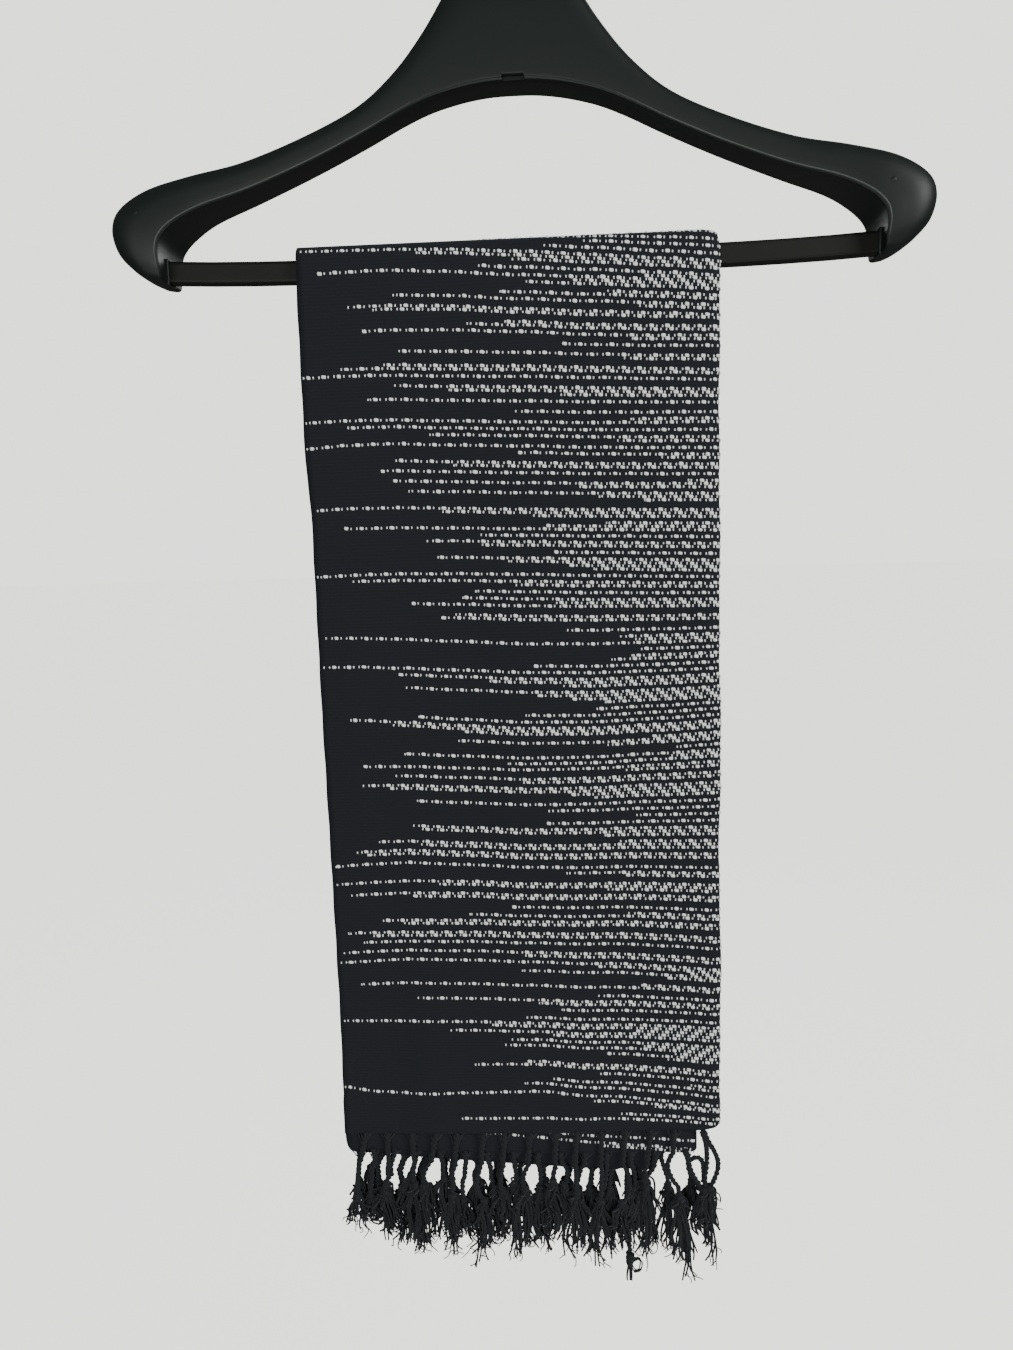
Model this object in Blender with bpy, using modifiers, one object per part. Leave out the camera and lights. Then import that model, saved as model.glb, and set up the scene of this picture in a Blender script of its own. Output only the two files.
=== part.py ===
# A folded handwoven scarf with knotted fringes, hung over the trouser bar of a broad coat hanger.
# Metres, +Z up, -Y to the front. The origin is the inner top of the hook, where a rail holds it.

import math
import random

import bmesh
import bpy

MM = 0.001
GAP = 0.3 * MM  # between pieces that touch

BAR_DROP = 215 * MM  # from the rail down to the middle line of the bar's ends
NECK_TOP = 157 * MM  # heights of the hanger are taken from the bar's middle line
ARM_STEPS = 2  # rings for each station of the arm

BAR_HEIGHT = 12 * MM
BAR_DEPTH = 8 * MM
BAR_CORNER = 2 * MM
BAR_SAG = 2.8 * MM
BAR_HALF_LENGTH = 188.7 * MM
BAR_PIECES = 16  # straight pieces that follow its sag
BAR_CORNER_STEPS = 3

HOOK_WIRE = 2 * MM  # radius
HOOK_INSIDE = 19 * MM  # radius of the crook's inside
HOOK_TIP_ANGLE = 205  # degrees round the crook from the right
HOOK_JOIN_ANGLE = -48  # where the bend from the stem meets the crook
HOOK_BEND = 9 * MM  # length of the stem's bend
HOOK_BEND_STEPS = 7
CROOK_STEPS = 22
SOCKET_DEPTH = 12 * MM
COLLAR_RADIUS = 8 * MM
COLLAR_HEIGHT = 7 * MM

NOTCH_WIDTH = 11 * MM
NOTCH_HEIGHT = 2.4 * MM
NOTCH_DEPTH = 3 * MM

PLY = 1.35 * MM  # one thickness of the cloth
STACK_INNER = GAP  # distances out from the bar's side or top: the ply that lies on the bar
PAIR_INNER = STACK_INNER + PLY + GAP  # the doubled cloth inside
PAIR_OUTER = PAIR_INNER + 2 * PLY + 0.05 * MM
STACK_OUTER = PAIR_OUTER + GAP + PLY  # the outermost ply's face
STACK_MIDDLE = (STACK_INNER + STACK_OUTER) / 2
OUTER_FOLD_RUN = 8 * MM  # how far the soft fold at the right takes to turn
INNER_FOLD_RUN = 5.5 * MM
INNER_FOLD_INSET = 2.4 * MM  # how far the inner fold's end stands back from the outer one's
INNER_INSET = 1 * MM  # how far the inner selvedges stand back
SELVEDGE_GROOVE = 2.5 * MM  # how deep the gap between the two inner selvedges is
SELVEDGE_LIP = 0.85
SEAM_DROP = 14 * MM  # where the stretch over the bar meets the hanging ones
BACK_DROP = 500 * MM  # lowest point of the back, where the scarf turns up again
STRAIGHT_DROP = 470 * MM  # the edges run straight to here, above the hems' round corners
HEM_CORNER = 8 * MM
PLY_STEP = 0.05 * MM  # a ledge where one ply ends and the other hangs on
FLAT_TRAVEL = 0.1  # shares of the way over half of the bar: flat on top, then round its corner
LEG_TRAVEL = 0.65  # and from here straight down
CROWN_BEND_ROWS = 4
FOOT_SHARES = (0.5, 0.87, 0.98)  # how far down its round foot each last row of the inner pair lies
CLOTH_COLUMNS = 12
CLOTH_ROWS = 14
TURN_ROWS = 3
FOLD_STEPS = 6

LOCKS_A_PLY = 16
LOCK_PITCH = 14 * MM
LOCK_SHORTEST = 54 * MM
LOCK_LONGEST = 66 * MM
LONG_LOCK = ("c", 11)  # one lock that hangs lower than the rest, by its hem and its place in the row
LONG_LOCK_LENGTH = 76 * MM
LOCK_LEAN = 3 * MM  # sideways, at most
LOCK_BOW = 0.8 * MM
STRIP_HEIGHT = 2 * MM
STRIP_DEPTH = 1.0 * MM
LOCK_DEPTH_RATIO = 0.58  # a lock is flatter from front to back

# Half of the hanger from its middle to its tip, in mm from the bar's middle line.
ARM_COLUMNS = ("inner_x", "inner_z", "outer_x", "outer_z", "half_depth")
ARM_STATIONS = (
    (0, 86.0, 0, 157, 11),
    (10, 85.8, 10, 156, 11),
    (20, 84.8, 21, 151, 11),
    (31, 82.8, 32, 136.5, 11),
    (45, 79.0, 46, 115, 11),
    (60, 72.8, 62, 95.5, 11),
    (80, 63.0, 82, 79.0, 11),
    (108, 50.5, 111, 65.5, 11.5),
    (140, 38.0, 144, 54.0, 13),
    (165, 29.5, 172, 48.0, 16),
    (179, 22.0, 196, 41.5, 18.5),
    (186.5, 15.0, 212, 32, 19.5),
    (189, 8.0, 217, 21.5, 19.5),
    (189, 1.0, 214.5, 9.5, 18.5),
    (189, -5.0, 206, 0, 16.5),
    (189, -9.0, 197, -6.5, 14),
)

# The arm's section: rise from the lower edge to the top, and share of the half depth.
SECTION_COLUMNS = ("rise", "depth")
SECTION = (
    (0.00, -0.88),
    (0.05, -0.97),
    (0.30, -1.00),
    (0.60, -0.93),
    (0.83, -0.72),
    (0.96, -0.38),
    (1.00, 0.00),
    (0.96, 0.38),
    (0.83, 0.72),
    (0.60, 0.93),
    (0.30, 1.00),
    (0.05, 0.97),
    (0.00, 0.88),
    (0.03, 0.00),
)

# The scarf's two edges, in mm, at each drop below the bar's middle line.
EDGE_COLUMNS = ("drop", "left", "right")
EDGES = (
    (-12, -117.0, 105.2),
    (14, -118.0, 105.8),
    (105, -118.0, 106.0),
    (130, -116.2, 105.6),
    (240, -116.2, 106.0),
    (330, -115.4, 105.4),
    (420, -114.8, 105.7),
    (476, -115.2, 105.3),
    (488, -115.6, 103.0),
    (494, -116.0, 97.0),
    (505, -115.6, 92.0),
)

# The gentle waves that a hanging cloth keeps: width, height in mm, phase and lean down the length.
WAVE_COLUMNS = ("width", "height", "phase", "lean")
WAVES = (
    (154, 1.1, 0.6, 1.5),
    (87, 0.6, 2.1, -2.4),
)

# The four hems and fringes, front to back, in mm: where the cloth ends at its two sides,
# where the fringe's first lock stands, and how far the locks stand and lean to the front.
HEM_COLUMNS = ("left_drop", "right_drop", "left", "right", "first_lock", "strip_y", "lock_y", "lean_y")
HEMS = {
    "a": (497, 493.5, -115.6, 99.5, -108.5, -9.68, -10.20, -4.0),
    "b": (503, 505.5, -115.0, 92.0, -101.5, -8.10, -8.50, -1.2),
    "c": (509, 518.5, -115.0, 92.0, -105.0, -6.55, -6.60, 1.2),
    "d": (501, 501.0, -115.6, 99.5, -98.0, -4.90, -4.60, 3.4),
}
WRAPPING_HEMS = ("a", "d")  # of the ply that wraps the others
TUCKED_HEM = "c"  # its right end is tucked up behind the others
TUCK_START = 70 * MM
TUCKED_DROP = 503 * MM

# One fringe lock from its root down: share of its length, half width in mm.
LOCK_COLUMNS = ("along", "half_width")
LOCK_PROFILE = (
    (0.00, 1.5),
    (0.10, 1.35),
    (0.30, 1.15),
    (0.50, 1.2),
    (0.57, 2.0),
    (0.63, 1.9),
    (0.70, 2.2),
    (0.85, 3.2),
    (1.00, 1.2),
)


def clear_scene():
    for thing in list(bpy.data.objects):
        bpy.data.objects.remove(thing, do_unlink=True)


def make_collection(name):
    collection = bpy.data.collections.new(name)
    bpy.context.scene.collection.children.link(collection)
    return collection


def make_material(name, colour, roughness, metallic=0.0):
    material = bpy.data.materials.new(name)
    material.use_nodes = True
    shader = material.node_tree.nodes["Principled BSDF"]
    shader.inputs["Base Color"].default_value = (*colour, 1.0)
    shader.inputs["Roughness"].default_value = roughness
    shader.inputs["Metallic"].default_value = metallic
    return material


def add_object(name, mesh, collection, material=None):
    thing = bpy.data.objects.new(name, mesh)
    collection.objects.link(thing)
    if material:
        mesh.materials.append(material)
    return thing


def named(columns, row):
    return dict(zip(columns, row))


def between_rows(columns, rows, key, value):
    """One column of a table at a value of its first one, on straight lines between rows."""
    low = rows[0]
    for high in rows[1:]:
        if value <= high[0]:
            share = (value - low[0]) / (high[0] - low[0])
            share = min(1.0, max(0.0, share))
            mixed = [a + (b - a) * share for a, b in zip(low, high)]
            return named(columns, mixed)[key]
        low = high
    return named(columns, low)[key]


def smooth_rows(rows, steps):
    """Rows of a table with more between them, on one smooth curve through all of them."""
    out = []
    for i in range(len(rows) - 1):
        before = rows[max(i - 1, 0)]
        here = rows[i]
        there = rows[i + 1]
        after = rows[min(i + 2, len(rows) - 1)]
        for step in range(steps):
            t = step / steps
            row = []
            for p0, p1, p2, p3 in zip(before, here, there, after):
                straight = 2 * p1 + (p2 - p0) * t
                bend = (2 * p0 - 5 * p1 + 4 * p2 - p3) * t ** 2
                twist = (3 * p1 - p0 - 3 * p2 + p3) * t ** 3
                row.append((straight + bend + twist) / 2)
            out.append(row)
    out.append(list(rows[-1]))
    return out


def loft(rings, capped=True, first_cap=True):
    """A mesh through rings of equal point counts, faces out, with one end or both left open if asked."""
    shape = bmesh.new()
    loops = [[shape.verts.new(point) for point in ring] for ring in rings]
    count = len(rings[0])
    for loop, following in zip(loops, loops[1:]):
        for i in range(count):
            j = (i + 1) % count
            shape.faces.new((loop[i], loop[j], following[j], following[i]))
    if capped:
        shape.faces.new(loops[-1])
    if capped and first_cap:
        shape.faces.new(loops[0][::-1])
    if capped and shape.calc_volume(signed=True) < 0:
        bmesh.ops.reverse_faces(shape, faces=shape.faces)
    return shape


def finish_mesh(name, shape, sharp_degrees=40):
    mesh = bpy.data.meshes.new(name)
    shape.to_mesh(mesh)
    shape.free()
    mesh.shade_smooth()
    mesh.set_sharp_from_angle(angle=math.radians(sharp_degrees))
    return mesh


def add_boolean(thing, other, operation):
    cut = thing.modifiers.new(f"{operation.lower()} {other.name}", "BOOLEAN")
    cut.operation = operation
    cut.object = other
    cut.solver = "EXACT"


def add_cutter(name, shape, collection):
    cutter = add_object(name, finish_mesh(name, shape), collection)
    cutter.hide_render = True
    cutter.display_type = "WIRE"
    return cutter


def cylinder_shape(radius, depth, centre, sides=24):
    shape = bmesh.new()
    bmesh.ops.create_cone(
        shape, cap_ends=True, segments=sides, radius1=radius, radius2=radius, depth=depth)
    bmesh.ops.translate(shape, vec=centre, verts=shape.verts)
    return shape


def box_shape(size, centre):
    shape = bmesh.new()
    bmesh.ops.create_cube(shape, size=1.0)
    bmesh.ops.scale(shape, vec=size, verts=shape.verts)
    bmesh.ops.translate(shape, vec=centre, verts=shape.verts)
    return shape


def arm_ring(station):
    ring = []
    at = named(ARM_COLUMNS, station)
    for row in SECTION:
        part = named(SECTION_COLUMNS, row)
        x = at["inner_x"] + (at["outer_x"] - at["inner_x"]) * part["rise"]
        z = at["inner_z"] + (at["outer_z"] - at["inner_z"]) * part["rise"]
        ring.append((x * MM, at["half_depth"] * part["depth"] * MM, z * MM - BAR_DROP))
    return ring


def build_hanger_body(collection, cutters, plastic):
    half = loft([arm_ring(row) for row in smooth_rows(ARM_STATIONS, ARM_STEPS)], first_cap=False)
    body = add_object("hanger_body", finish_mesh("hanger_body", half), collection, plastic)
    mirror = body.modifiers.new("left half", "MIRROR")
    mirror.merge_threshold = 0.0001

    top = NECK_TOP - BAR_DROP
    collar_middle = top + GAP - COLLAR_HEIGHT / 2
    collar = add_cutter(
        "neck_collar", cylinder_shape(COLLAR_RADIUS, COLLAR_HEIGHT, (0, 0, collar_middle)), cutters)
    add_boolean(body, collar, "UNION")

    socket_top = top + COLLAR_HEIGHT
    socket_length = SOCKET_DEPTH + COLLAR_HEIGHT
    socket = add_cutter(
        "hook_socket",
        cylinder_shape(HOOK_WIRE + GAP, socket_length, (0, 0, socket_top - socket_length / 2)),
        cutters)
    add_boolean(body, socket, "DIFFERENCE")

    middle = named(ARM_COLUMNS, ARM_STATIONS[0])
    lower_edge = middle["inner_z"] * MM - BAR_DROP
    front = -middle["half_depth"] * MM
    notch = add_cutter(
        "front_notch",
        box_shape((NOTCH_WIDTH, 2 * NOTCH_DEPTH, 2 * NOTCH_HEIGHT), (0, front, lower_edge)),
        cutters)
    add_boolean(body, notch, "DIFFERENCE")


def bar_sag(x):
    return BAR_SAG * (1 - (x / BAR_HALF_LENGTH) ** 4)


def build_trouser_bar(collection, plastic):
    shape = box_shape((2 * BAR_HALF_LENGTH, BAR_DEPTH, BAR_HEIGHT), (0, 0, -BAR_DROP))
    for i in range(1, BAR_PIECES):
        x = BAR_HALF_LENGTH * (2 * i / BAR_PIECES - 1)
        everything = shape.verts[:] + shape.edges[:] + shape.faces[:]
        bmesh.ops.bisect_plane(shape, geom=everything, plane_co=(x, 0, 0), plane_no=(1, 0, 0))
    for vert in shape.verts:
        vert.co.z -= bar_sag(vert.co.x)
    bar = add_object("trouser_bar", finish_mesh("trouser_bar", shape), collection, plastic)
    bevel = bar.modifiers.new("long corners", "BEVEL")
    bevel.width = BAR_CORNER
    bevel.segments = BAR_CORNER_STEPS
    bevel.limit_method = "WEIGHT"
    weights = bar.data.attributes.new("bevel_weight_edge", "FLOAT", "EDGE")
    for edge in bar.data.edges:
        ends = [bar.data.vertices[i].co for i in edge.vertices]
        runs_along = abs(ends[0].x - ends[1].x) > BAR_CORNER
        weights.data[edge.index].value = 1.0 if runs_along else 0.0


def hook_route():
    """The wire's middle line: up out of the neck, out to the right, and over the rail."""
    radius = HOOK_INSIDE + HOOK_WIRE
    centre_z = -HOOK_INSIDE
    bottom = NECK_TOP - BAR_DROP - SOCKET_DEPTH + GAP
    stem_top = centre_z - radius - HOOK_BEND
    join_angle = math.radians(HOOK_JOIN_ANGLE)
    join = (radius * math.cos(join_angle), centre_z + radius * math.sin(join_angle))
    route = [(0, bottom), (0, (bottom + stem_top) / 2), (0, stem_top)]
    up_point = (0, stem_top + HOOK_BEND)
    back_point = (
        join[0] + HOOK_BEND * math.sin(join_angle), join[1] - HOOK_BEND * math.cos(join_angle))
    for i in range(1, HOOK_BEND_STEPS):
        t = i / HOOK_BEND_STEPS
        weights = ((1 - t) ** 3, 3 * t * (1 - t) ** 2, 3 * t * t * (1 - t), t ** 3)
        places = ((0, stem_top), up_point, back_point, join)
        route.append(tuple(sum(w * p[k] for w, p in zip(weights, places)) for k in range(2)))
    for i in range(CROOK_STEPS + 1):
        angle = join_angle + (math.radians(HOOK_TIP_ANGLE) - join_angle) * i / CROOK_STEPS
        route.append((radius * math.cos(angle), centre_z + radius * math.sin(angle)))
    return route


def build_hook(collection, steel):
    wire = bpy.data.curves.new("hook", "CURVE")
    wire.dimensions = "3D"
    wire.bevel_depth = HOOK_WIRE
    wire.bevel_resolution = 3
    wire.use_fill_caps = True
    route = hook_route()
    spline = wire.splines.new("POLY")
    spline.points.add(len(route) - 1)
    for point, (x, z) in zip(spline.points, route):
        point.co = (x, 0, z, 1)
    wire.materials.append(steel)
    collection.objects.link(bpy.data.objects.new("hook", wire))


def wave(x, drop):
    """How far the cloth stands to the front of its plane, none at the bar and more below it."""
    share = min(1.0, max(0.0, (drop - SEAM_DROP) / (BACK_DROP - SEAM_DROP)))
    out = 0.0
    for row in WAVES:
        at = named(WAVE_COLUMNS, row)
        angle = 2 * math.pi * x / (at["width"] * MM) + at["phase"] + at["lean"] * share
        out += at["height"] * MM * math.sin(angle)
    return out * math.sqrt(share)


def edge_x(side, drop):
    return between_rows(EDGE_COLUMNS, EDGES, side, drop / MM) * MM


def across(start, stop, steps):
    return [start + (stop - start) * i / steps for i in range(steps + 1)]


def fold_arc(straight, run, middle, radius):
    """Points round a fold's end, without its first and last, from its outer side to its inner one."""
    points = []
    for i in range(1, FOLD_STEPS):
        angle = math.pi * i / FOLD_STEPS
        points.append((straight + run * math.sin(angle), middle + radius * math.cos(angle)))
    return points


def pair_outline(left, right, inner, outer):
    """The section of the doubled cloth inside: x, and the distance out from the bar.

    Its fold is the round right end, and its two selvedges stand apart at the left.
    """
    middle = (inner + outer) / 2
    radius = (outer - inner) / 2
    straight = right - INNER_FOLD_RUN
    points = [(x, outer) for x in across(left, straight, CLOTH_COLUMNS)]
    points += fold_arc(straight, INNER_FOLD_RUN, middle, radius)
    points += [(x, inner) for x in across(straight, left, CLOTH_COLUMNS)]
    lip = radius * SELVEDGE_LIP
    points.append((left, middle - radius + lip))
    points.append((left + SELVEDGE_GROOVE, middle))
    points.append((left, middle + radius - lip))
    return points


def sleeve_outline(left, right):
    """The section of the ply that wraps the others: its outer side, and its inner side.

    Each runs from the outermost ply's selvedge, round the fold at the right, to the innermost's.
    """
    middle = STACK_MIDDLE
    half = STACK_OUTER - middle
    straight = right - OUTER_FOLD_RUN
    sides = []
    for thickness in (0, PLY):
        run, radius = OUTER_FOLD_RUN - thickness, half - thickness
        side = [(x, middle + radius) for x in across(left, straight, CLOTH_COLUMNS)]
        side += fold_arc(straight, run, middle, radius)
        side += [(x, middle - radius) for x in across(straight, left, CLOTH_COLUMNS)]
        sides.append(side)
    return sides[0] + sides[1][::-1]


def sleeve_loft(rings):
    """The wrapping ply through its rings, each of an outer and an inner side of equal counts."""
    shape = loft(rings, capped=False)
    shape.verts.ensure_lookup_table()
    count = len(rings[0])
    for first in (0, count * (len(rings) - 1)):
        for i in range(count // 2 - 1):
            outer = [shape.verts[first + i], shape.verts[first + i + 1]]
            inner = [shape.verts[first + count - 2 - i], shape.verts[first + count - 1 - i]]
            quad = outer + inner
            shape.faces.new(quad if first else quad[::-1])
    if shape.calc_volume(signed=True) < 0:
        bmesh.ops.reverse_faces(shape, faces=shape.faces)
    return shape


def hanging_point(x, out, drop, side):
    """A point of a hanging stretch; side is -1 on the front and 1 on the back."""
    return (x, side * (BAR_DEPTH / 2 + out) - wave(x * -side, drop), -BAR_DROP - drop)


def hem_drop(hem, x):
    if hem == TUCKED_HEM and x > TUCK_START:
        return TUCKED_DROP
    at = named(HEM_COLUMNS, HEMS[hem])
    share = (x / MM - at["left"]) / (at["right"] - at["left"])
    return (at["left_drop"] + (at["right_drop"] - at["left_drop"]) * share) * MM


def front_drops():
    return across(SEAM_DROP, STRAIGHT_DROP, CLOTH_ROWS)


def front_outer_rings():
    """The wrapping ply at the front, down to its two hems, which meet halfway round the fold."""
    rings = []
    for drop in front_drops():
        outline = sleeve_outline(edge_x("left", drop), edge_x("right", drop))
        rings.append([hanging_point(x, out, drop, -1) for x, out in outline])
    at = named(HEM_COLUMNS, HEMS["a"])
    outline = sleeve_outline(at["left"] * MM, at["right"] * MM)
    for rise in (HEM_CORNER, 0.0):
        ring = []
        for i, (x, out) in enumerate(outline):
            place = min(i, len(outline) - 1 - i)
            round_fold = min(1.0, max(0.0, (place - CLOTH_COLUMNS) / FOLD_STEPS))
            drop = (1 - round_fold) * hem_drop("a", x) + round_fold * hem_drop("d", x)
            ring.append(hanging_point(x, out, drop - rise, -1))
        rings.append(ring)
    return rings


def pair_hem_ring(hem, inner, outer, rise=0.0):
    at = named(HEM_COLUMNS, HEMS[hem])
    outline = pair_outline(at["left"] * MM, at["right"] * MM, inner, outer)
    return [hanging_point(x, out, hem_drop(hem, x) - rise, -1) for x, out in outline]


def front_inner_rings():
    """The doubled cloth inside: both plies down to the shorter hem, then the longer ply alone."""
    rings = []
    for drop in front_drops():
        left = edge_x("left", drop) + INNER_INSET
        right = edge_x("right", drop) - INNER_FOLD_INSET
        outline = pair_outline(left, right, PAIR_INNER, PAIR_OUTER)
        rings.append([hanging_point(x, out, drop, -1) for x, out in outline])
    ply_outer = STACK_MIDDLE - PLY_STEP / 2
    rings.append(pair_hem_ring("b", PAIR_INNER, PAIR_OUTER, rise=HEM_CORNER))
    rings.append(pair_hem_ring("b", PAIR_INNER, PAIR_OUTER))
    rings.append(pair_hem_ring("b", PAIR_INNER, ply_outer, rise=-PLY_STEP))
    rings.append(pair_hem_ring("c", PAIR_INNER, ply_outer))
    return rings


def over_bar_point(x, out, travel):
    """A point over the bar; travel runs from -1, at the front seam, to 1, at the back one."""
    crest = BAR_HEIGHT / 2 - bar_sag(edge_x("left", 0))
    corner_z = crest - BAR_CORNER
    corner_y = BAR_DEPTH / 2 - BAR_CORNER
    radius = BAR_CORNER + out
    side = -1 if travel < 0 else 1
    away = abs(travel)
    if away > LEG_TRAVEL:
        down = (away - LEG_TRAVEL) / (1 - LEG_TRAVEL)
        leg_bottom = -SEAM_DROP + GAP
        return (x, side * (BAR_DEPTH / 2 + out), corner_z + (leg_bottom - corner_z) * down - BAR_DROP)
    angle = math.pi / 2 * max(0.0, away - FLAT_TRAVEL) / (LEG_TRAVEL - FLAT_TRAVEL)
    y = side * (corner_y + radius * math.sin(angle))
    return (x, y, corner_z + radius * math.cos(angle) - BAR_DROP)


def crown_rings(outline_at):
    bend = across(FLAT_TRAVEL, LEG_TRAVEL, CROWN_BEND_ROWS)
    half = bend + [1.0]
    rings = []
    for travel in [-away for away in reversed(half)] + half:
        drop = SEAM_DROP if abs(travel) == 1 else -BAR_HEIGHT
        outline = outline_at(edge_x("left", drop), edge_x("right", drop))
        rings.append([over_bar_point(x, out, travel) for x, out in outline])
    return rings


def inset_pair(left, right):
    return pair_outline(left + INNER_INSET, right - INNER_FOLD_INSET, PAIR_INNER, PAIR_OUTER)


def back_rings(outline_at, straight_end):
    rings = []
    for drop in across(SEAM_DROP, straight_end, CLOTH_ROWS):
        edge_drop = min(drop, STRAIGHT_DROP)
        outline = outline_at(edge_x("left", edge_drop), edge_x("right", edge_drop))
        rings.append([hanging_point(x, out, drop, 1) for x, out in outline])
    return rings, outline


def back_outer_rings():
    """The wrapping ply at the back; its foot turns inward, under the ply that it runs on into."""
    straight_end = BACK_DROP - PLY - GAP
    rings, outline = back_rings(sleeve_outline, straight_end)
    turn = (PAIR_OUTER - PAIR_INNER) / 2 + GAP / 2
    for i in range(1, TURN_ROWS + 1):
        angle = math.pi / 2 * i / TURN_ROWS
        ring = []
        for x, out in outline:
            side = 1 if out > STACK_MIDDLE else -1
            away = max(0.0, abs(out - STACK_MIDDLE) - turn)
            turned = out - side * away * (1 - math.cos(angle))
            ring.append(hanging_point(x, turned, straight_end + away * math.sin(angle), 1))
        rings.append(ring)
    return rings


def back_inner_rings():
    """The doubled cloth inside at the back, with a round foot."""
    half = (PAIR_OUTER - PAIR_INNER) / 2
    straight_end = BACK_DROP - PLY - GAP
    rings, outline = back_rings(inset_pair, straight_end)
    for share in FOOT_SHARES:
        ring = []
        for x, out in outline:
            narrowed = STACK_MIDDLE + (out - STACK_MIDDLE) * math.sqrt(1 - share ** 2)
            ring.append(hanging_point(x, narrowed, straight_end + half * share, 1))
        rings.append(ring)
    return rings


def build_cloth(collection, cloth):
    sleeves = {
        "front_outer_fall": front_outer_rings(),
        "crown_outer": crown_rings(sleeve_outline),
        "back_outer_fall": back_outer_rings(),
    }
    pairs = {
        "front_inner_fall": front_inner_rings(),
        "crown_inner": crown_rings(inset_pair),
        "back_inner_fall": back_inner_rings(),
    }
    for name, rings in sleeves.items():
        add_object(name, finish_mesh(name, sleeve_loft(rings)), collection, cloth)
    for name, rings in pairs.items():
        add_object(name, finish_mesh(name, loft(rings)), collection, cloth)


def lock_rings(root, length, lean_x, lean_y, bow):
    """One fringe lock: a twisted cord, its knot and the frayed end, as a four-sided lock."""
    rings = []
    for row in LOCK_PROFILE:
        at = named(LOCK_COLUMNS, row)
        along = at["along"]
        x = root[0] + lean_x * along ** 1.5 + bow * math.sin(math.pi * along)
        y = root[1] + lean_y * along
        z = root[2] - length * along
        half = at["half_width"] * MM
        deep = half * LOCK_DEPTH_RATIO
        rings.append([(x - half, y, z), (x, y - deep, z), (x + half, y, z), (x, y + deep, z)])
    return rings


def build_fringe(hem, dice, collection, cutters, yarn):
    at = named(HEM_COLUMNS, HEMS[hem])
    strip_rings = []
    fold_run = OUTER_FOLD_RUN if hem in WRAPPING_HEMS else INNER_FOLD_RUN
    columns = across(at["left"] * MM, at["right"] * MM - fold_run, CLOTH_COLUMNS)
    if hem == TUCKED_HEM:
        columns = [x for x in columns if x <= TUCK_START]
    for x in columns:
        top = hem_drop(hem, x) + GAP
        y = at["strip_y"] * MM - wave(x, top)
        front, back = y - STRIP_DEPTH / 2, y + STRIP_DEPTH / 2
        high, low = -BAR_DROP - top, -BAR_DROP - top - STRIP_HEIGHT
        strip_rings.append([(x, front, high), (x, front, low), (x, back, low), (x, back, high)])
    name = f"fringe_{hem}"
    strip = add_object(name, finish_mesh(name, loft(strip_rings)), collection, yarn)

    locks = bmesh.new()
    for i in range(LOCKS_A_PLY):
        x = at["first_lock"] * MM + i * LOCK_PITCH
        length = dice.uniform(LOCK_SHORTEST, LOCK_LONGEST)
        if (hem, i) == LONG_LOCK:
            length = LONG_LOCK_LENGTH
        lean_x = dice.uniform(-LOCK_LEAN, LOCK_LEAN)
        bow = dice.uniform(-LOCK_BOW, LOCK_BOW)
        if x > columns[-1] - STRIP_HEIGHT:
            continue
        top = hem_drop(hem, x) + GAP + STRIP_HEIGHT / 2
        root = (x, at["lock_y"] * MM - wave(x, top), -BAR_DROP - top)
        one = loft(lock_rings(root, length, lean_x, at["lean_y"] * MM, bow))
        mesh = finish_mesh("lock", one)
        locks.from_mesh(mesh)
        bpy.data.meshes.remove(mesh)
    add_boolean(strip, add_cutter(f"locks_{hem}", locks, cutters), "UNION")


def main():
    clear_scene()
    parts = make_collection("scarf on a coat hanger")
    cutters = make_collection("cutters")
    black_plastic = make_material("satin black plastic", (0.012, 0.014, 0.013), 0.38)
    bar_plastic = make_material("black bar plastic", (0.016, 0.015, 0.014), 0.45)
    steel = make_material("plated steel wire", (0.55, 0.55, 0.54), 0.25, 1.0)
    cloth = make_material("black and white woven cotton", (0.02, 0.022, 0.028), 0.9)
    yarn = make_material("black cotton yarn", (0.008, 0.008, 0.010), 0.9)

    build_hanger_body(parts, cutters, black_plastic)
    build_trouser_bar(parts, bar_plastic)
    build_hook(parts, steel)
    build_cloth(parts, cloth)
    dice = random.Random(7)
    for hem in HEMS:
        build_fringe(hem, dice, parts, cutters, yarn)


main()
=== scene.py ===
import math
import random

import bpy
import numpy as np
from mathutils import Euler, Matrix, Vector


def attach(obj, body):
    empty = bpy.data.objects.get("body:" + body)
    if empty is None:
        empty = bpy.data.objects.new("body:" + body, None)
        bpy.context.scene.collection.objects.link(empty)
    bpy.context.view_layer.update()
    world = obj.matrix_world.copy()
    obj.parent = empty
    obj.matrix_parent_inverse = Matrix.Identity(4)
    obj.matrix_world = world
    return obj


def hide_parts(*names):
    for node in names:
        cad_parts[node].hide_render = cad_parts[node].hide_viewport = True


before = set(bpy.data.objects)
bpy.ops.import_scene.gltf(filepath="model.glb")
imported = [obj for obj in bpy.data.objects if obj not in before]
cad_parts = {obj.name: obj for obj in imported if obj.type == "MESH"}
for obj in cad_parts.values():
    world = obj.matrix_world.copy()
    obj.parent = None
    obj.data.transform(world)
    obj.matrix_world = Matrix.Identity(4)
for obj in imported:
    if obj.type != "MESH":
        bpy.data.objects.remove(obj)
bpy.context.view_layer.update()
bpy.ops.object.select_all(action="DESELECT")
mm = 0.001


# small helpers

def paint(hexCode):
    # sRGB hex to the linear colour that nodes take
    parts = [int(hexCode[i:i + 2], 16) / 255 for i in (1, 3, 5)]
    return tuple(c / 12.92 if c <= 0.04045 else ((c + 0.055) / 1.055) ** 2.4 for c in parts) + (1.0,)


def addNode(tree, kind, values=None, links=None, **settings):
    node = tree.nodes.new(kind)
    for name, value in settings.items():
        setattr(node, name, value)
    for name, value in (values or {}).items():
        node.inputs[name].default_value = value
    for name, socket in (links or {}).items():
        tree.links.new(socket, node.inputs[name])
    return node


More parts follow.
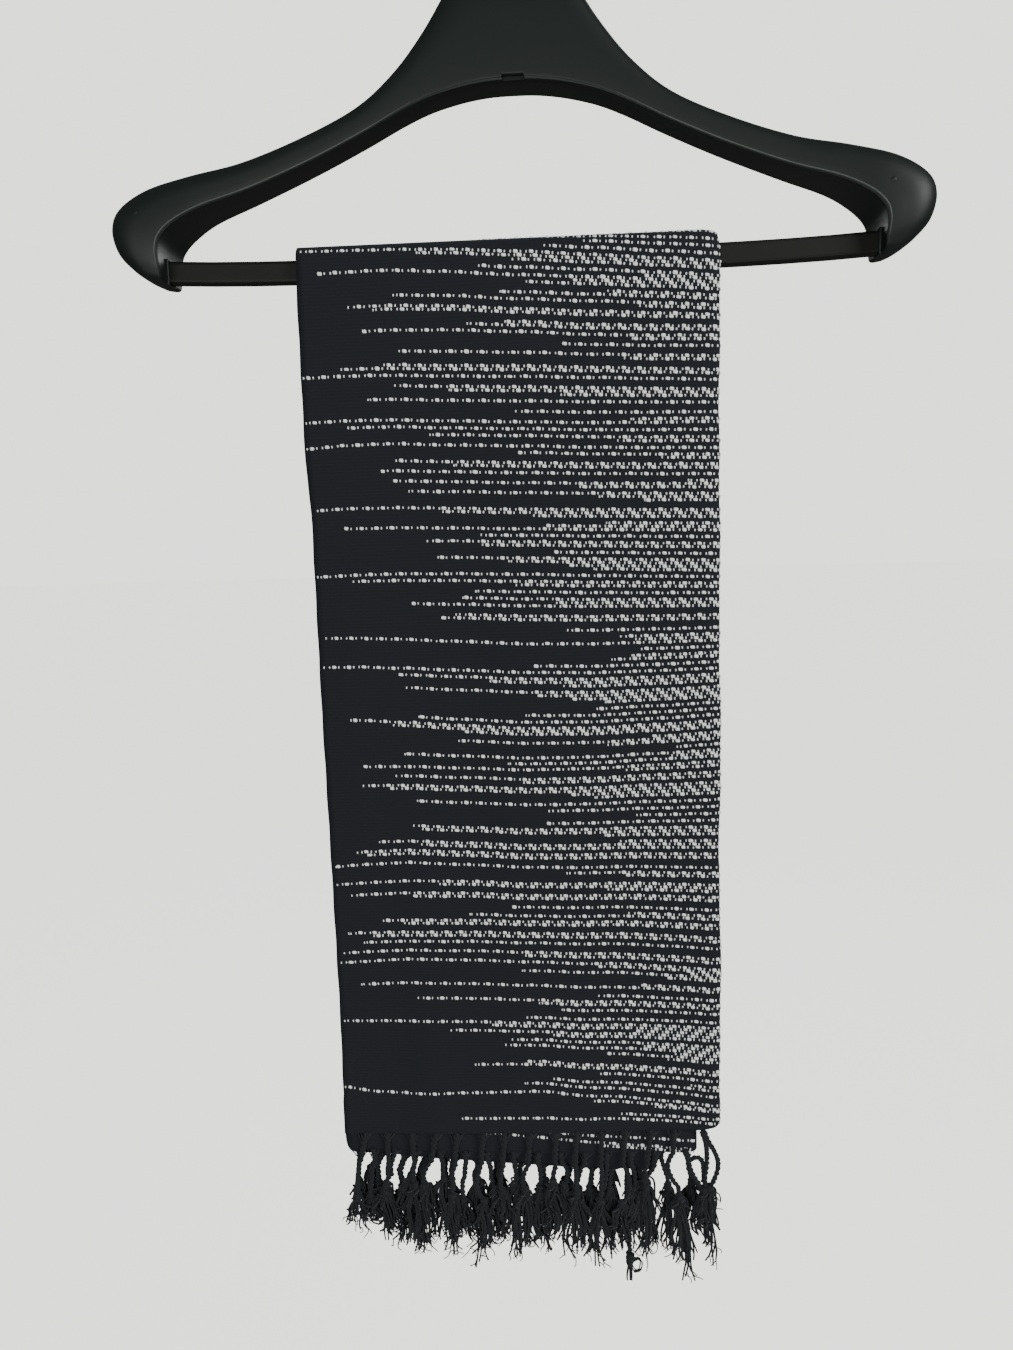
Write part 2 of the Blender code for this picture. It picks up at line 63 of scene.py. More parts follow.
def newMaterial(name, **values):
    material = bpy.data.materials.new(name)
    material.use_nodes = True
    shader = material.node_tree.nodes["Principled BSDF"]
    for key, value in values.items():
        shader.inputs[key.replace("_", " ")].default_value = value
    return material, material.node_tree, shader


def meshPiece(name, points, faces, material, uv=None, smooth=True):
    # points in millimetres; faces is an array, or a list of arrays, of corner numbers
    groups = faces if isinstance(faces, list) else [faces]
    sizes = np.concatenate([np.full(len(g), g.shape[1]) for g in groups])
    corners = np.concatenate([g.ravel() for g in groups]).astype(np.int32)
    mesh = bpy.data.meshes.new(name)
    mesh.vertices.add(len(points))
    mesh.vertices.foreach_set("co", (np.asarray(points) * mm).ravel())
    mesh.loops.add(len(corners))
    mesh.loops.foreach_set("vertex_index", corners)
    mesh.polygons.add(len(sizes))
    mesh.polygons.foreach_set("loop_start", np.concatenate([[0], np.cumsum(sizes)[:-1]]).astype(np.int32))
    mesh.polygons.foreach_set("use_smooth", np.full(len(sizes), smooth))
    if uv is not None:
        layer = mesh.uv_layers.new(name="cloth")
        layer.data.foreach_set("uv", uv[corners].ravel())
    mesh.update()
    mesh.validate()
    piece = bpy.data.objects.new(name, mesh)
    bpy.context.scene.collection.objects.link(piece)
    mesh.materials.append(material)
    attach(piece, "root")
    return piece


# materials

clothMap = {"across": 600, "along": 1200, "above": 540}  # millimetres in the whole map, and above the bar
floatPitch = 1.8  # one pick of weft to the next
# piece-dyed black cotton, loosely handwoven: a dull, slightly blue black with soft ribs across
clothBlack, tree, shader = newMaterial(
    "black handwoven cotton", Roughness=0.88, Sheen_Weight=0.12, Sheen_Roughness=0.5)
shader.inputs["Sheen Tint"].default_value = paint("#8A93A3")
shader.inputs["Specular IOR Level"].default_value = 0.3
uvMap = addNode(tree, "ShaderNodeUVMap", uv_map="cloth")
inMillimetres = addNode(tree, "ShaderNodeMapping", {"Scale": (clothMap["across"], clothMap["along"], 1)},
                        {"Vector": uvMap.outputs[0]})
ribs = addNode(tree, "ShaderNodeTexWave",
               {"Scale": 0.314 / floatPitch, "Distortion": 0.6, "Detail Scale": 2.0},
               {"Vector": inMillimetres.outputs[0]}, bands_direction="Y")  # one rib per pick
fuzz = addNode(tree, "ShaderNodeTexNoise", {"Scale": 0.8, "Detail": 4.0, "Roughness": 0.65},
               {"Vector": inMillimetres.outputs[0]})
relief = addNode(tree, "ShaderNodeMix", {"Factor": 0.72},
                 {"A": ribs.outputs["Fac"], "B": fuzz.outputs["Fac"]})
tone = addNode(tree, "ShaderNodeMix", {"A": paint("#101217"), "B": paint("#1D2027")}, data_type="RGBA")
tree.links.new(relief.outputs[0], tone.inputs["Factor"])
tree.links.new(tone.outputs["Result"], shader.inputs["Base Color"])
bump = addNode(tree, "ShaderNodeBump", {"Strength": 0.5, "Distance": 0.0003}, {"Height": relief.outputs[0]})
tree.links.new(bump.outputs[0], shader.inputs["Normal"])

# bleached cotton weft, softly spun, so it catches light evenly
yarnWhite, tree, shader = newMaterial(
    "bleached white cotton yarn", Base_Color=paint("#F6F7F4"), Roughness=0.85, Sheen_Weight=0.2)

# black cotton warp ends, twisted and knotted, with a faint gloss along the twist
yarnBlack, tree, shader = newMaterial(
    "black twisted cotton yarn", Base_Color=paint("#1A1D21"), Roughness=0.85, Sheen_Weight=0.1)
shader.inputs["Specular IOR Level"].default_value = 0.3

# injection-moulded black polystyrene, satin from a fine etched mould
hangerPlastic, tree, shader = newMaterial(
    "satin moulded polystyrene", Base_Color=paint("#181E1B"), Roughness=0.45, IOR=1.5)
shader.inputs["Specular IOR Level"].default_value = 0.32
place = addNode(tree, "ShaderNodeTexCoord")
grain = addNode(tree, "ShaderNodeTexNoise", {"Scale": 1400.0, "Detail": 2.0},
                {"Vector": place.outputs["Object"]})
bump = addNode(tree, "ShaderNodeBump", {"Strength": 0.12, "Distance": 0.0002},
               {"Height": grain.outputs["Fac"]})
tree.links.new(bump.outputs[0], shader.inputs["Normal"])

# the same plastic, coloured paler along an edge: a painted highlight
edgeHighlightPlastic, tree, shader = newMaterial(
    "polystyrene with painted edge highlight", Base_Color=paint("#4E5450"), Roughness=0.5, IOR=1.5)

# extruded bar with a duller, slightly warmer black
barPlastic, tree, shader = newMaterial(
    "extruded black bar plastic", Base_Color=paint("#121210"), Roughness=0.55, IOR=1.5)
shader.inputs["Specular IOR Level"].default_value = 0.25

# drawn steel wire, bright nickel plated
wireSteel, tree, shader = newMaterial(
    "nickel-plated steel wire", Base_Color=paint("#C9C7C2"), Roughness=0.22, Metallic=1.0)

print("materials done")


# hanger: a broad moulded body with wide shoulder ends; the bar and hook are the CAD's own

hanger = {
    "barDrop": 215.0,
    "ringSteps": 7,  # rings for each station
    "sectionSteps": 4,
    "notch": (11.0, 6.0, 4.8),  # the slot at the middle of the front's lower edge
    "notchAt": (0.0, -11.0, -129.0),
    "collar": (8.0, 7.0),  # radius, height
    "collarDrop": 61.2,
    "collarBevel": 1.0,
    "bore": (2.3, 19.0),  # radius, depth
    "boreDrop": 60.5,
    "lip": (1.9, 10.2, 14.0),
    "lipAcross": 189.4,
    "lipBevel": 0.7,
    "barHole": (6.0, 8.6, 12.6),
    "barHoleAcross": 188.0,
    "lineThick": 0.34,
    "lineRings": (25, 88),  # the line begins at the foot and ends before the neck
    "lineEnds": (12, 0.25),  # rings in which it comes in, and its least share of the thickness
    "marks": ((-199.3, 27.0), (191.2, 25.8)),  # moulding marks on the shoulder ends
    "markRadius": 1.3,
    "markFlat": 0.2,
}
# inner edge x z, outer edge x z, half depth, from the bar's middle line
armStations = np.array((
    (0, 86.0, 0, 157, 11), (10, 85.8, 10, 156, 11), (20, 84.8, 21, 151, 11), (31, 82.8, 32, 136.5, 11),
    (45, 79.0, 46, 115, 11), (60, 72.8, 62, 95.5, 11), (80, 63.0, 82, 79.0, 11), (108, 50.5, 111, 65.5, 11.5),
    (140, 38.0, 144, 54.0, 13), (165, 29.5, 172, 48.0, 16), (179, 22.0, 196, 41.5, 18.5),
    (186.5, 15.0, 212, 32, 19.5), (189, 8.0, 217, 21.5, 19.5), (189, 1.0, 214.5, 9.5, 18.5),
    (189, -3.2, 207.5, 1.2, 17.0), (189.2, -5.4, 201.5, -3.4, 15.6), (190.2, -6.6, 197.5, -5.4, 13.2),
    (192.0, -7.0, 195.0, -6.5, 9.5)))
armSection = np.array((
    (0.00, -0.90), (0.015, -0.955), (0.05, -0.985), (0.30, -1.00), (0.62, -0.97), (0.86, -0.80),
    (0.97, -0.42), (1.00, 0.00), (0.97, 0.42), (0.86, 0.80), (0.62, 0.97), (0.30, 1.00), (0.05, 0.985),
    (0.015, 0.955), (0.00, 0.90), (0.02, 0.45), (0.03, 0.00), (0.02, -0.45)))


def smoothRows(rows, steps, closed=False):
    # more rows on one smooth curve through the given ones
    count = len(rows)
    out = []
    for i in range(count if closed else count - 1):
        if closed:
            p0, p1, p2, p3 = (rows[(i + k) % count] for k in (-1, 0, 1, 2))
        else:
            p0, p1, p2, p3 = (rows[min(max(i + k, 0), count - 1)] for k in (-1, 0, 1, 2))
        for t in np.arange(steps) / steps:
            out.append((2 * p1 + (p2 - p0) * t + (2 * p0 - 5 * p1 + 4 * p2 - p3) * t ** 2
                        + (3 * p1 - p0 - 3 * p2 + p3) * t ** 3) / 2)
    if not closed:
        out.append(rows[-1])
    return np.array(out)


def bodyShape():
    stations = smoothRows(armStations, hanger["ringSteps"])
    section = smoothRows(armSection, hanger["sectionSteps"], closed=True)
    rise, depth = section[:, 0][None, :], section[:, 1][None, :]
    innerX, innerZ, outerX, outerZ, half = (stations[:, k][:, None] for k in range(5))
    right = np.stack([innerX + (outerX - innerX) * rise, half * depth + 0 * rise,
                      innerZ + (outerZ - innerZ) * rise - hanger["barDrop"]], axis=-1)
    rings = np.concatenate([right[:0:-1] * (-1, 1, 1), right])
    rows, around = rings.shape[:2]
    number = np.arange(rows * around).reshape(rows, around)
    nextOne = np.roll(number, -1, axis=1)
    quads = np.stack([number[:-1], number[1:], nextOne[1:], nextOne[:-1]], axis=-1).reshape(-1, 4)
    return rings.reshape(-1, 3), [quads, number[0][None, :], number[-1][::-1][None, :]]


def applyBoolean(piece, other, operation):
    cut = piece.modifiers.new(operation.lower(), "BOOLEAN")
    cut.operation, cut.object, cut.solver = operation, other, "EXACT"
    bpy.context.view_layer.objects.active = piece
    bpy.ops.object.modifier_apply(modifier=cut.name)
    bpy.data.objects.remove(other, do_unlink=True)


def addBlock(place, size):
    bpy.ops.mesh.primitive_cube_add(size=1, location=[length * mm for length in place])
    block = bpy.context.object
    block.scale = [length * mm for length in size]
    bpy.ops.object.transform_apply(scale=True)
    return block


def bevelAll(width):
    # rounds every edge of the object just added
    bpy.ops.object.mode_set(mode="EDIT")
    bpy.ops.mesh.select_all(action="SELECT")
    bpy.ops.mesh.bevel(offset=width * mm, segments=3, affect="EDGES")
    bpy.ops.object.mode_set(mode="OBJECT")


def settle(piece, name, material):
    # its place goes into its mesh, and it takes its name and material
    piece.name = name
    bpy.ops.object.select_all(action="DESELECT")
    piece.select_set(True)
    bpy.context.view_layer.objects.active = piece
    bpy.ops.object.transform_apply(location=True, rotation=True, scale=True)
    piece.data.materials.clear()
    piece.data.materials.append(material)
    bpy.ops.object.select_all(action="DESELECT")


bodyPoints, bodyFaces = bodyShape()
body = meshPiece("hanger_shell", bodyPoints, bodyFaces, hangerPlastic)
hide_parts("hanger_body")

notchCutter = addBlock(hanger["notchAt"], hanger["notch"])
applyBoolean(body, notchCutter, "DIFFERENCE")

# the round collar that the wire turns in, with its bore
collarRadius, collarHeight = hanger["collar"]
bpy.ops.mesh.primitive_cylinder_add(vertices=48, radius=collarRadius * mm, depth=collarHeight * mm,
                                    location=(0, 0, -hanger["collarDrop"] * mm))
collar = bpy.context.object
bevelAll(hanger["collarBevel"])
boreRadius, boreDepth = hanger["bore"]
for bored in (collar, body):
    bpy.ops.mesh.primitive_cylinder_add(vertices=32, radius=boreRadius * mm, depth=boreDepth * mm,
                                        location=(0, 0, -hanger["boreDrop"] * mm))
    applyBoolean(bored, bpy.context.object, "DIFFERENCE")
settle(collar, "hanger_collar", hangerPlastic)
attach(collar, "root")

# the front's lower edge carries a fine raised line, and its paler colour is a painted highlight
def edgeLine():
    rings = bodyPoints.reshape(-1, len(armSection) * hanger["sectionSteps"], 3)
    edge = rings[:, 2 * hanger["sectionSteps"]]
    first, last = hanger["lineRings"]
    endRings, leastThick = hanger["lineEnds"]
    angle = np.arange(6) * math.pi / 3
    points, faces = [], []
    for path in (edge[first:last], edge[::-1][first:last][::-1]):
        ahead = np.gradient(path, axis=0)
        ahead /= np.linalg.norm(ahead, axis=1)[:, None]
        side = np.cross(ahead, (0.0, 1.0, 0.0))
        ring = (np.cos(angle)[None, :, None] * side[:, None, :]
                + np.sin(angle)[None, :, None] * np.array((0.0, 1.0, 0.0))[None, None, :])
        fromEnd = np.minimum(np.arange(len(path)), np.arange(len(path))[::-1])
        taper = np.clip(fromEnd / endRings, leastThick, 1)[:, None, None]
        number = len(points) * len(path) * 6 + np.arange(len(path) * 6).reshape(-1, 6)
        points.append((path[:, None, :] + hanger["lineThick"] * taper * ring).reshape(-1, 3))
        nextOne = np.roll(number, -1, axis=1)
        quads = np.stack([number[:-1], nextOne[:-1], nextOne[1:], number[1:]], axis=-1).reshape(-1, 4)
        faces += [quads, number[0][::-1][None, :], number[-1][None, :]]
    return np.concatenate(points), faces


linePoints, lineFaces = edgeLine()
line = meshPiece("front_edge_line", linePoints, lineFaces, edgeHighlightPlastic)

# a raised lip round the bar where it enters each shoulder end
for side in (-1, 1):
    lip = addBlock((side * hanger["lipAcross"], 0, -hanger["barDrop"]), hanger["lip"])
    bevelAll(hanger["lipBevel"])
    barCutter = addBlock((side * hanger["barHoleAcross"], 0, -hanger["barDrop"]), hanger["barHole"])
    applyBoolean(lip, barCutter, "DIFFERENCE")
    settle(lip, f"bar_lip_{'left' if side < 0 else 'right'}", hangerPlastic)
    bpy.context.view_layer.objects.active = lip
    lip.select_set(True)
    bpy.ops.object.shade_smooth_by_angle(angle=math.radians(35))
    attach(lip, "root")

# small round marks from the mould's pins
for x, z in hanger["marks"]:
    _, spot, normal, _ = body.ray_cast((x * mm, -1.0, (z - hanger["barDrop"]) * mm), (0, 1, 0))
    bpy.ops.object.select_all(action="DESELECT")
    bpy.ops.mesh.primitive_uv_sphere_add(segments=16, ring_count=8, radius=hanger["markRadius"] * mm,
                                         location=spot)
    mark = bpy.context.object
    mark.scale = (1, 1, hanger["markFlat"])
    mark.rotation_euler = normal.to_track_quat("Z", "Y").to_euler()
    bpy.ops.object.shade_smooth()
    settle(mark, f"mould_mark_{'left' if x < 0 else 'right'}", hangerPlastic)
    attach(mark, "root")

for node, material in (("trouser_bar", barPlastic), ("hook", wireSteel)):
    bpy.data.objects[node].material_slots[0].material = material

print("hanger done")


# how the scarf hangs

drape = {
    "barDrop": 215.0,  # origin down to the bar's middle line
    "barHalfDepth": 4.0,
    "barCorner": 2.0,
    "cornerRise": 1.614,  # the corner's centre above the bar's middle line
    "seamDrop": 14.0,
    "backDrop": 500.0,
    "footDrop": 498.35,  # the back's straight part ends here
    "straightDrop": 470.0,
    "faceOut": 6.35,  # outermost face of the cloth, out from the bar
    "flatCrest": 2.0,  # half of the level stretch on top of the bar
    "hemEdge": 105.4,  # the right edge above the rounded corners of the hems
    "footMiddle": 1.525,  # from a stack's middle to the middle of each doubled wall
    "width": 213.0,  # of the folded cloth, and the cloth that its fold takes
    "foldWidth": 18.0,
    "waves": ((154, 1.1, 0.6, 1.5), (87, 0.6, 2.1, -2.4)),  # width, height, phase, lean
    "smallWaves": ((43, 0.22, 1.3, 3.0), (29, 0.12, 0.2, -4.0)),
}
edgeRows = np.array((  # drop, left, right
    (-30, -117.0, 105.2), (14, -118.0, 105.8), (105, -118.0, 106.0), (130, -116.2, 105.6),
    (240, -116.2, 106.0), (330, -115.4, 105.4), (420, -114.8, 105.7), (470, -115.2, 105.4),
    (500, -115.6, 105.0)))

legAway = (drape["barCorner"] + drape["faceOut"]) * math.pi / 2 + drape["flatCrest"]
crestS = -drape["cornerRise"] - legAway


def wave(x, drop):
    share = np.clip((drop - drape["seamDrop"]) / (drape["backDrop"] - drape["seamDrop"]), 0, 1)
    out = 0.0
    for width, height, phase, lean in drape["waves"] + drape["smallWaves"]:
        out = out + height * np.sin(2 * math.pi * x / width + phase + lean * share)
    return out * np.sqrt(share)


def hang(x, out, s):
    # s is the drop below the bar at the front; over the crest it runs on, negative, down the back
    away = np.abs(s - crestS)
    side = np.where(s > crestS, -1.0, 1.0)
    flat = drape["flatCrest"]
    turn = np.clip((away - flat) / (legAway - flat), 0, 1) * math.pi / 2
    reach = drape["barCorner"] + out
    drop = away - legAway - drape["cornerRise"]
    onLeg = away > legAway
    y = np.where(onLeg, side * (drape["barHalfDepth"] + out) - wave(-x * side, drop),
                 side * (np.minimum(away, flat) + reach * np.sin(turn)))
    z = np.where(onLeg, -drop, drape["cornerRise"] + reach * np.cos(turn))
    return np.stack([x + 0 * z, y, z - drape["barDrop"]], axis=-1)


def edgesAt(s):
    drop = np.where(s > crestS, s, 2 * crestS - s)
    left = np.interp(drop, edgeRows[:, 0], edgeRows[:, 1]) + 0.15 * np.sin(drop / 5.3)
    right = (np.interp(drop, edgeRows[:, 0], edgeRows[:, 2])
             + 0.35 * np.sin(drop / 19) + 0.2 * np.sin(drop / 7.7 + 1))
    return left, right


# each ply of a fold: columns across the front, round the fold, and back behind
plies = {
    "outer": {"middle": 3.325, "half": 3.025, "run": 8.0, "thick": 1.35, "insetLeft": 0.0, "insetRight": 0.0,
              "hemLeft": -115.6, "hemRight": 100.5, "cornerStep": 1.0, "cornerPower": 10,
              "hems": ("a", "d"), "columns": (54, 12, 18)},
    "inner": {"middle": 3.325, "half": 1.375, "run": 5.5, "thick": 1.33, "insetLeft": 0.5, "insetRight": 2.4,
              "hemLeft": -115.6, "hemRight": 92.0, "cornerStep": 0.62, "cornerPower": 4,
              "hems": ("b", "c"), "columns": (27, 6, 18)},
}
hemDrops = {"a": (495.5, 492.5), "b": (506.5, 508), "c": (508.8, 521.5), "d": (501, 500)}
tucks = {"c": (66.0, 12.0, 503.0), "d": (66.0, 22.0, 491.0)}  # from x, over a width, up to a drop


def hemDrop(hem, x, ply):
    left, right = hemDrops[hem]
    drop = left + (right - left) * (x - ply["hemLeft"]) / (ply["hemRight"] - ply["hemLeft"])
    if hem in tucks:  # its right end is tucked up behind the others
        start, width, tucked = tucks[hem]
        drop = drop + (tucked - drop) * np.clip((x - start) / width, 0, 1)
    return drop


def sectionColumns(ply):
    front, fold, behind = ply["columns"]
    share = np.concatenate([np.linspace(0, 1, front + 1), np.ones(fold - 1), np.linspace(1, 0, behind + 1)])
    turn = np.concatenate([np.zeros(front + 1), np.linspace(0, math.pi, fold + 1)[1:-1],
                           np.full(behind + 1, math.pi)])
    return share, turn


def sheetGrid(ply, thickness):
    # points of one side of a folded ply, hem to foot, and the two lengths along it
    share, turn = sectionColumns(ply)
    run, half = ply["run"] - thickness, ply["half"] - thickness
    hemSteps = np.array([1, 0.96, 0.9, 0.82, 0.72, 0.62, 0.58, 0.5, 0.4, 0.2])
    front = np.linspace(drape["straightDrop"], drape["seamDrop"], 93)
    crown = crestS + (legAway + 8.0) * np.array([1, 0.9, 0.8, 0.7, 0.6, 0.5, 0.42, 0.34, 0.26, 0.18, 0.09])
    crown = np.concatenate([crown, [crestS], 2 * crestS - crown[::-1]])
    back = 2 * crestS - np.linspace(drape["seamDrop"], drape["footDrop"], 80)
    steps = np.concatenate([front, crown, back])
    out = ply["middle"] + half * np.cos(turn)
    rows, lengths = [], []
    for step in hemSteps:
        left = ply["hemLeft"] + (5.0 * (1 - math.sqrt(1 - step ** 14)) if ply["insetLeft"] else 0.0)
        rounding = math.sqrt(1 - min(1.0, step / ply["cornerStep"]) ** ply["cornerPower"])
        right = ply["hemRight"] + (drape["hemEdge"] - ply["insetRight"] - ply["hemRight"]) * rounding
        straight = right - ply["run"]
        x = left + (straight - left) * share + run * np.sin(turn)
        blend = turn / math.pi
        hem = (1 - blend) * hemDrop(ply["hems"][0], x, ply) + blend * hemDrop(ply["hems"][1], x, ply)
        s = drape["straightDrop"] + (hem - drape["straightDrop"]) * step
        rows.append(hang(x, out, s))
        lengths.append(s)
    for s in steps:
        left, right = edgesAt(s)
        left, right = left + ply["insetLeft"], right - ply["insetRight"]
        straight = right - ply["run"]
        x = left + (straight - left) * share + run * np.sin(turn)
        rows.append(hang(x, out, np.full_like(x, s)))
        lengths.append(np.full_like(x, s))
    centre = ply["middle"] + drape["footMiddle"] * np.cos(turn)
    for angle in np.radians((30, 60, 90)):  # the foot turns in towards the other ply
        turned = centre + (out - centre) * math.cos(angle)
        deeper = np.abs(out - centre) * math.sin(angle)
        rows.append(hang(x, turned, steps[-1] - deeper))
        lengths.append(steps[-1] - deeper)
    width, fold = drape["width"], drape["foldWidth"]
    across = np.where(turn >= math.pi - 0.01, 2 * width + fold - share * width,
                      share * width + turn / math.pi * fold)
    return np.array(rows), np.array(lengths), across


def foldedSheet(name, ply, material):
    outer, lengths, across = sheetGrid(ply, 0.0)
    inner, _, _ = sheetGrid(ply, ply["thick"])
    rows, columns = lengths.shape
    points = np.concatenate([outer.reshape(-1, 3), inner.reshape(-1, 3)])
    number = np.arange(rows * columns).reshape(rows, columns)
    behind = number + rows * columns
    quads = []

    def addFaces(a, b, c, d):
        quads.append(np.stack([a.ravel(), b.ravel(), c.ravel(), d.ravel()], axis=1))

    addFaces(number[:-1, :-1], number[:-1, 1:], number[1:, 1:], number[1:, :-1])
    addFaces(behind[:-1, :-1], behind[1:, :-1], behind[1:, 1:], behind[:-1, 1:])
    addFaces(number[0, :-1], behind[0, :-1], behind[0, 1:], number[0, 1:])
    addFaces(number[-1, 1:], behind[-1, 1:], behind[-1, :-1], number[-1, :-1])
    addFaces(number[1:, 0], behind[1:, 0], behind[:-1, 0], number[:-1, 0])
    addFaces(number[:-1, -1], behind[:-1, -1], behind[1:, -1], number[1:, -1])
    uv = np.stack([np.broadcast_to(across, lengths.shape) / clothMap["across"],
                   (lengths + clothMap["above"]) / clothMap["along"]], axis=-1).reshape(-1, 2)
    return meshPiece(name, points, np.concatenate(quads), material, np.concatenate([uv, uv]))


outerSheet = foldedSheet("scarf_outer_fold", plies["outer"], clothBlack)
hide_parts("front_outer_fall", "crown_outer", "back_outer_fall")
innerSheet = foldedSheet("scarf_inner_fold", plies["inner"], clothBlack)
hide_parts("front_inner_fall", "crown_inner", "back_inner_fall")
print("cloth done")


# the picture's camera, fitted to the hanger's two alike halves

shot = {
    "place": (19.1, -572.73, -365.26),
    "lookDown": 7.3453,  # degrees
    "lookLeft": 3.1352,
    "roll": -1.6307,
    "lens": 36.464,
    "sensor": 36.0,
    "frame": (1013, 1350),
}
shotTurn = (Euler((math.radians(90 - shot["lookDown"]), 0, math.radians(shot["lookLeft"]))).to_matrix()
            @ Matrix.Rotation(math.radians(shot["roll"]), 3, "Z"))


def fromPicture(across, down):
    # a point of the picture, in its pixels, as x and drop on the front face of the cloth
    wide, tall = shot["frame"]
    deep = shot["lens"] / shot["sensor"] * wide
    ray = np.array(shotTurn) @ np.array((across - wide / 2, tall / 2 - down, -deep))
    x, y, z = shot["place"]
    reach = (-drape["barHalfDepth"] - drape["faceOut"] - y) / ray[1]
    return x + reach * ray[0], -z - reach * ray[2] - drape["barDrop"]


# white weft floats: a wide one and two small ones in each repeat

weave = {
    "pitch": floatPitch,
    "picks": (-300, 290),  # numbered from the bar, down the front, and negative down the back
    "repeat": 8.35,  # eight warp groups
    "wide": (2.4, 1.76, 0.42),  # across, tall, proud
    "small": (0.7, 1.55, 0.35),
    "smallAway": 2.62,  # from the wide float's middle
    "shear": 0.1,  # how much lower a wide float's right end is
    "roundFold": 17.0,  # the floats go on this far round the fold
    "sink": 0.15,
    "smallLower": 0.08,
    "jitter": 0.07,
    "sizeJitter": 0.06,
    "startRoom": 0.4,  # from a row's start to its first float
    "loneRoom": 1.8,  # with more room than this, a single small float comes first
    "loneStart": 0.8,
    "hemCorner": (23.0, 10),  # how tall the rows' right ends round off at the hem, and how squarely
}

# how the rows lie: drop at 48 mm from the left edge, and how much lower each row is at the stations
rowStations = np.array([-116, -95, -70, -40, 0, 40, 75, 104])
hiddenShape = np.array((
    (-560, 1.5, 0.6, 0, -0.8, -1.6, -1.0, 0.6, 2.0), (-430, -1.0, -0.4, 0, 0.8, 1.0, 0.2, -1.2, -2.4),
    (-300, 1.2, 0.5, 0, 0.2, 1.2, 2.2, 2.6, 3.0), (-150, -0.6, -0.4, 0, 1.6, 3.5, 5.6, 7.6, 9.0)))

# rows in front, read on the picture, in its pixels: places across, and the row's heights there
usualPlaces = (361, 409, 468, 542, 616, 717)
waveReadings = (
    ((303, *usualPlaces), (251.3, 250.0, 249.0, 250.0, 252.5, 256.5, 261)),
    ((303, *usualPlaces), (275, 270, 269, 272, 275, 276.5, 281)),
    ((303, *usualPlaces), (309, 305.0, 303.2, 305, 308.5, 310.5, 313)),
    ((303, *usualPlaces), (334, 331.5, 327.3, 330, 331, 335, 334)),
    ((303, *usualPlaces), (374, 371, 370.5, 372, 372, 373.5, 375)),
    ((303, *usualPlaces), (421.6, 418.5, 418, 419.7, 420.5, 421, 419.5)),
    ((303, *usualPlaces), (446, 440.5, 439.5, 442, 442.5, 444, 443.5)),
    ((311, *usualPlaces), (509.7, 506.5, 506, 507, 508, 508, 508)),
    ((315, *usualPlaces), (575.5, 572.5, 571.5, 571.4, 572, 573.5, 574.5)),
    ((320, *usualPlaces), (638, 637.5, 639, 641.5, 643.5, 643, 639.5)),
    ((320, *usualPlaces), (665.5, 664.5, 666, 668, 670, 670, 665.5)),
    ((322, *usualPlaces), (716, 717.5, 720, 723.5, 726, 725, 718)),
    ((327, *usualPlaces), (766.5, 766, 766, 767.8, 769, 767, 761)),
    ((332, *usualPlaces), (868.4, 865.7, 863.4, 865.7, 867.8, 867.8, 868.7)),
    ((332, *usualPlaces), (886, 884, 881.5, 882, 884, 884, 886)),
    ((337, *usualPlaces), (934, 932.5, 931.5, 931.5, 932, 933, 937.5)),
    ((336, *usualPlaces), (963.5, 962, 959, 960, 961, 964, 970)),
    ((338, *usualPlaces), (1022, 1021.8, 1021.8, 1022, 1023, 1026, 1029)),
    ((345, 391, 424, 468, 542, 575, 616, 717), (1085, 1092.7, 1092.2, 1091, 1088.5, 1091, 1096, 1105)),
    ((345, 409, 468, 497, 542, 616, 717), (1119, 1119, 1117, 1114.5, 1116, 1118, 1123)),
)
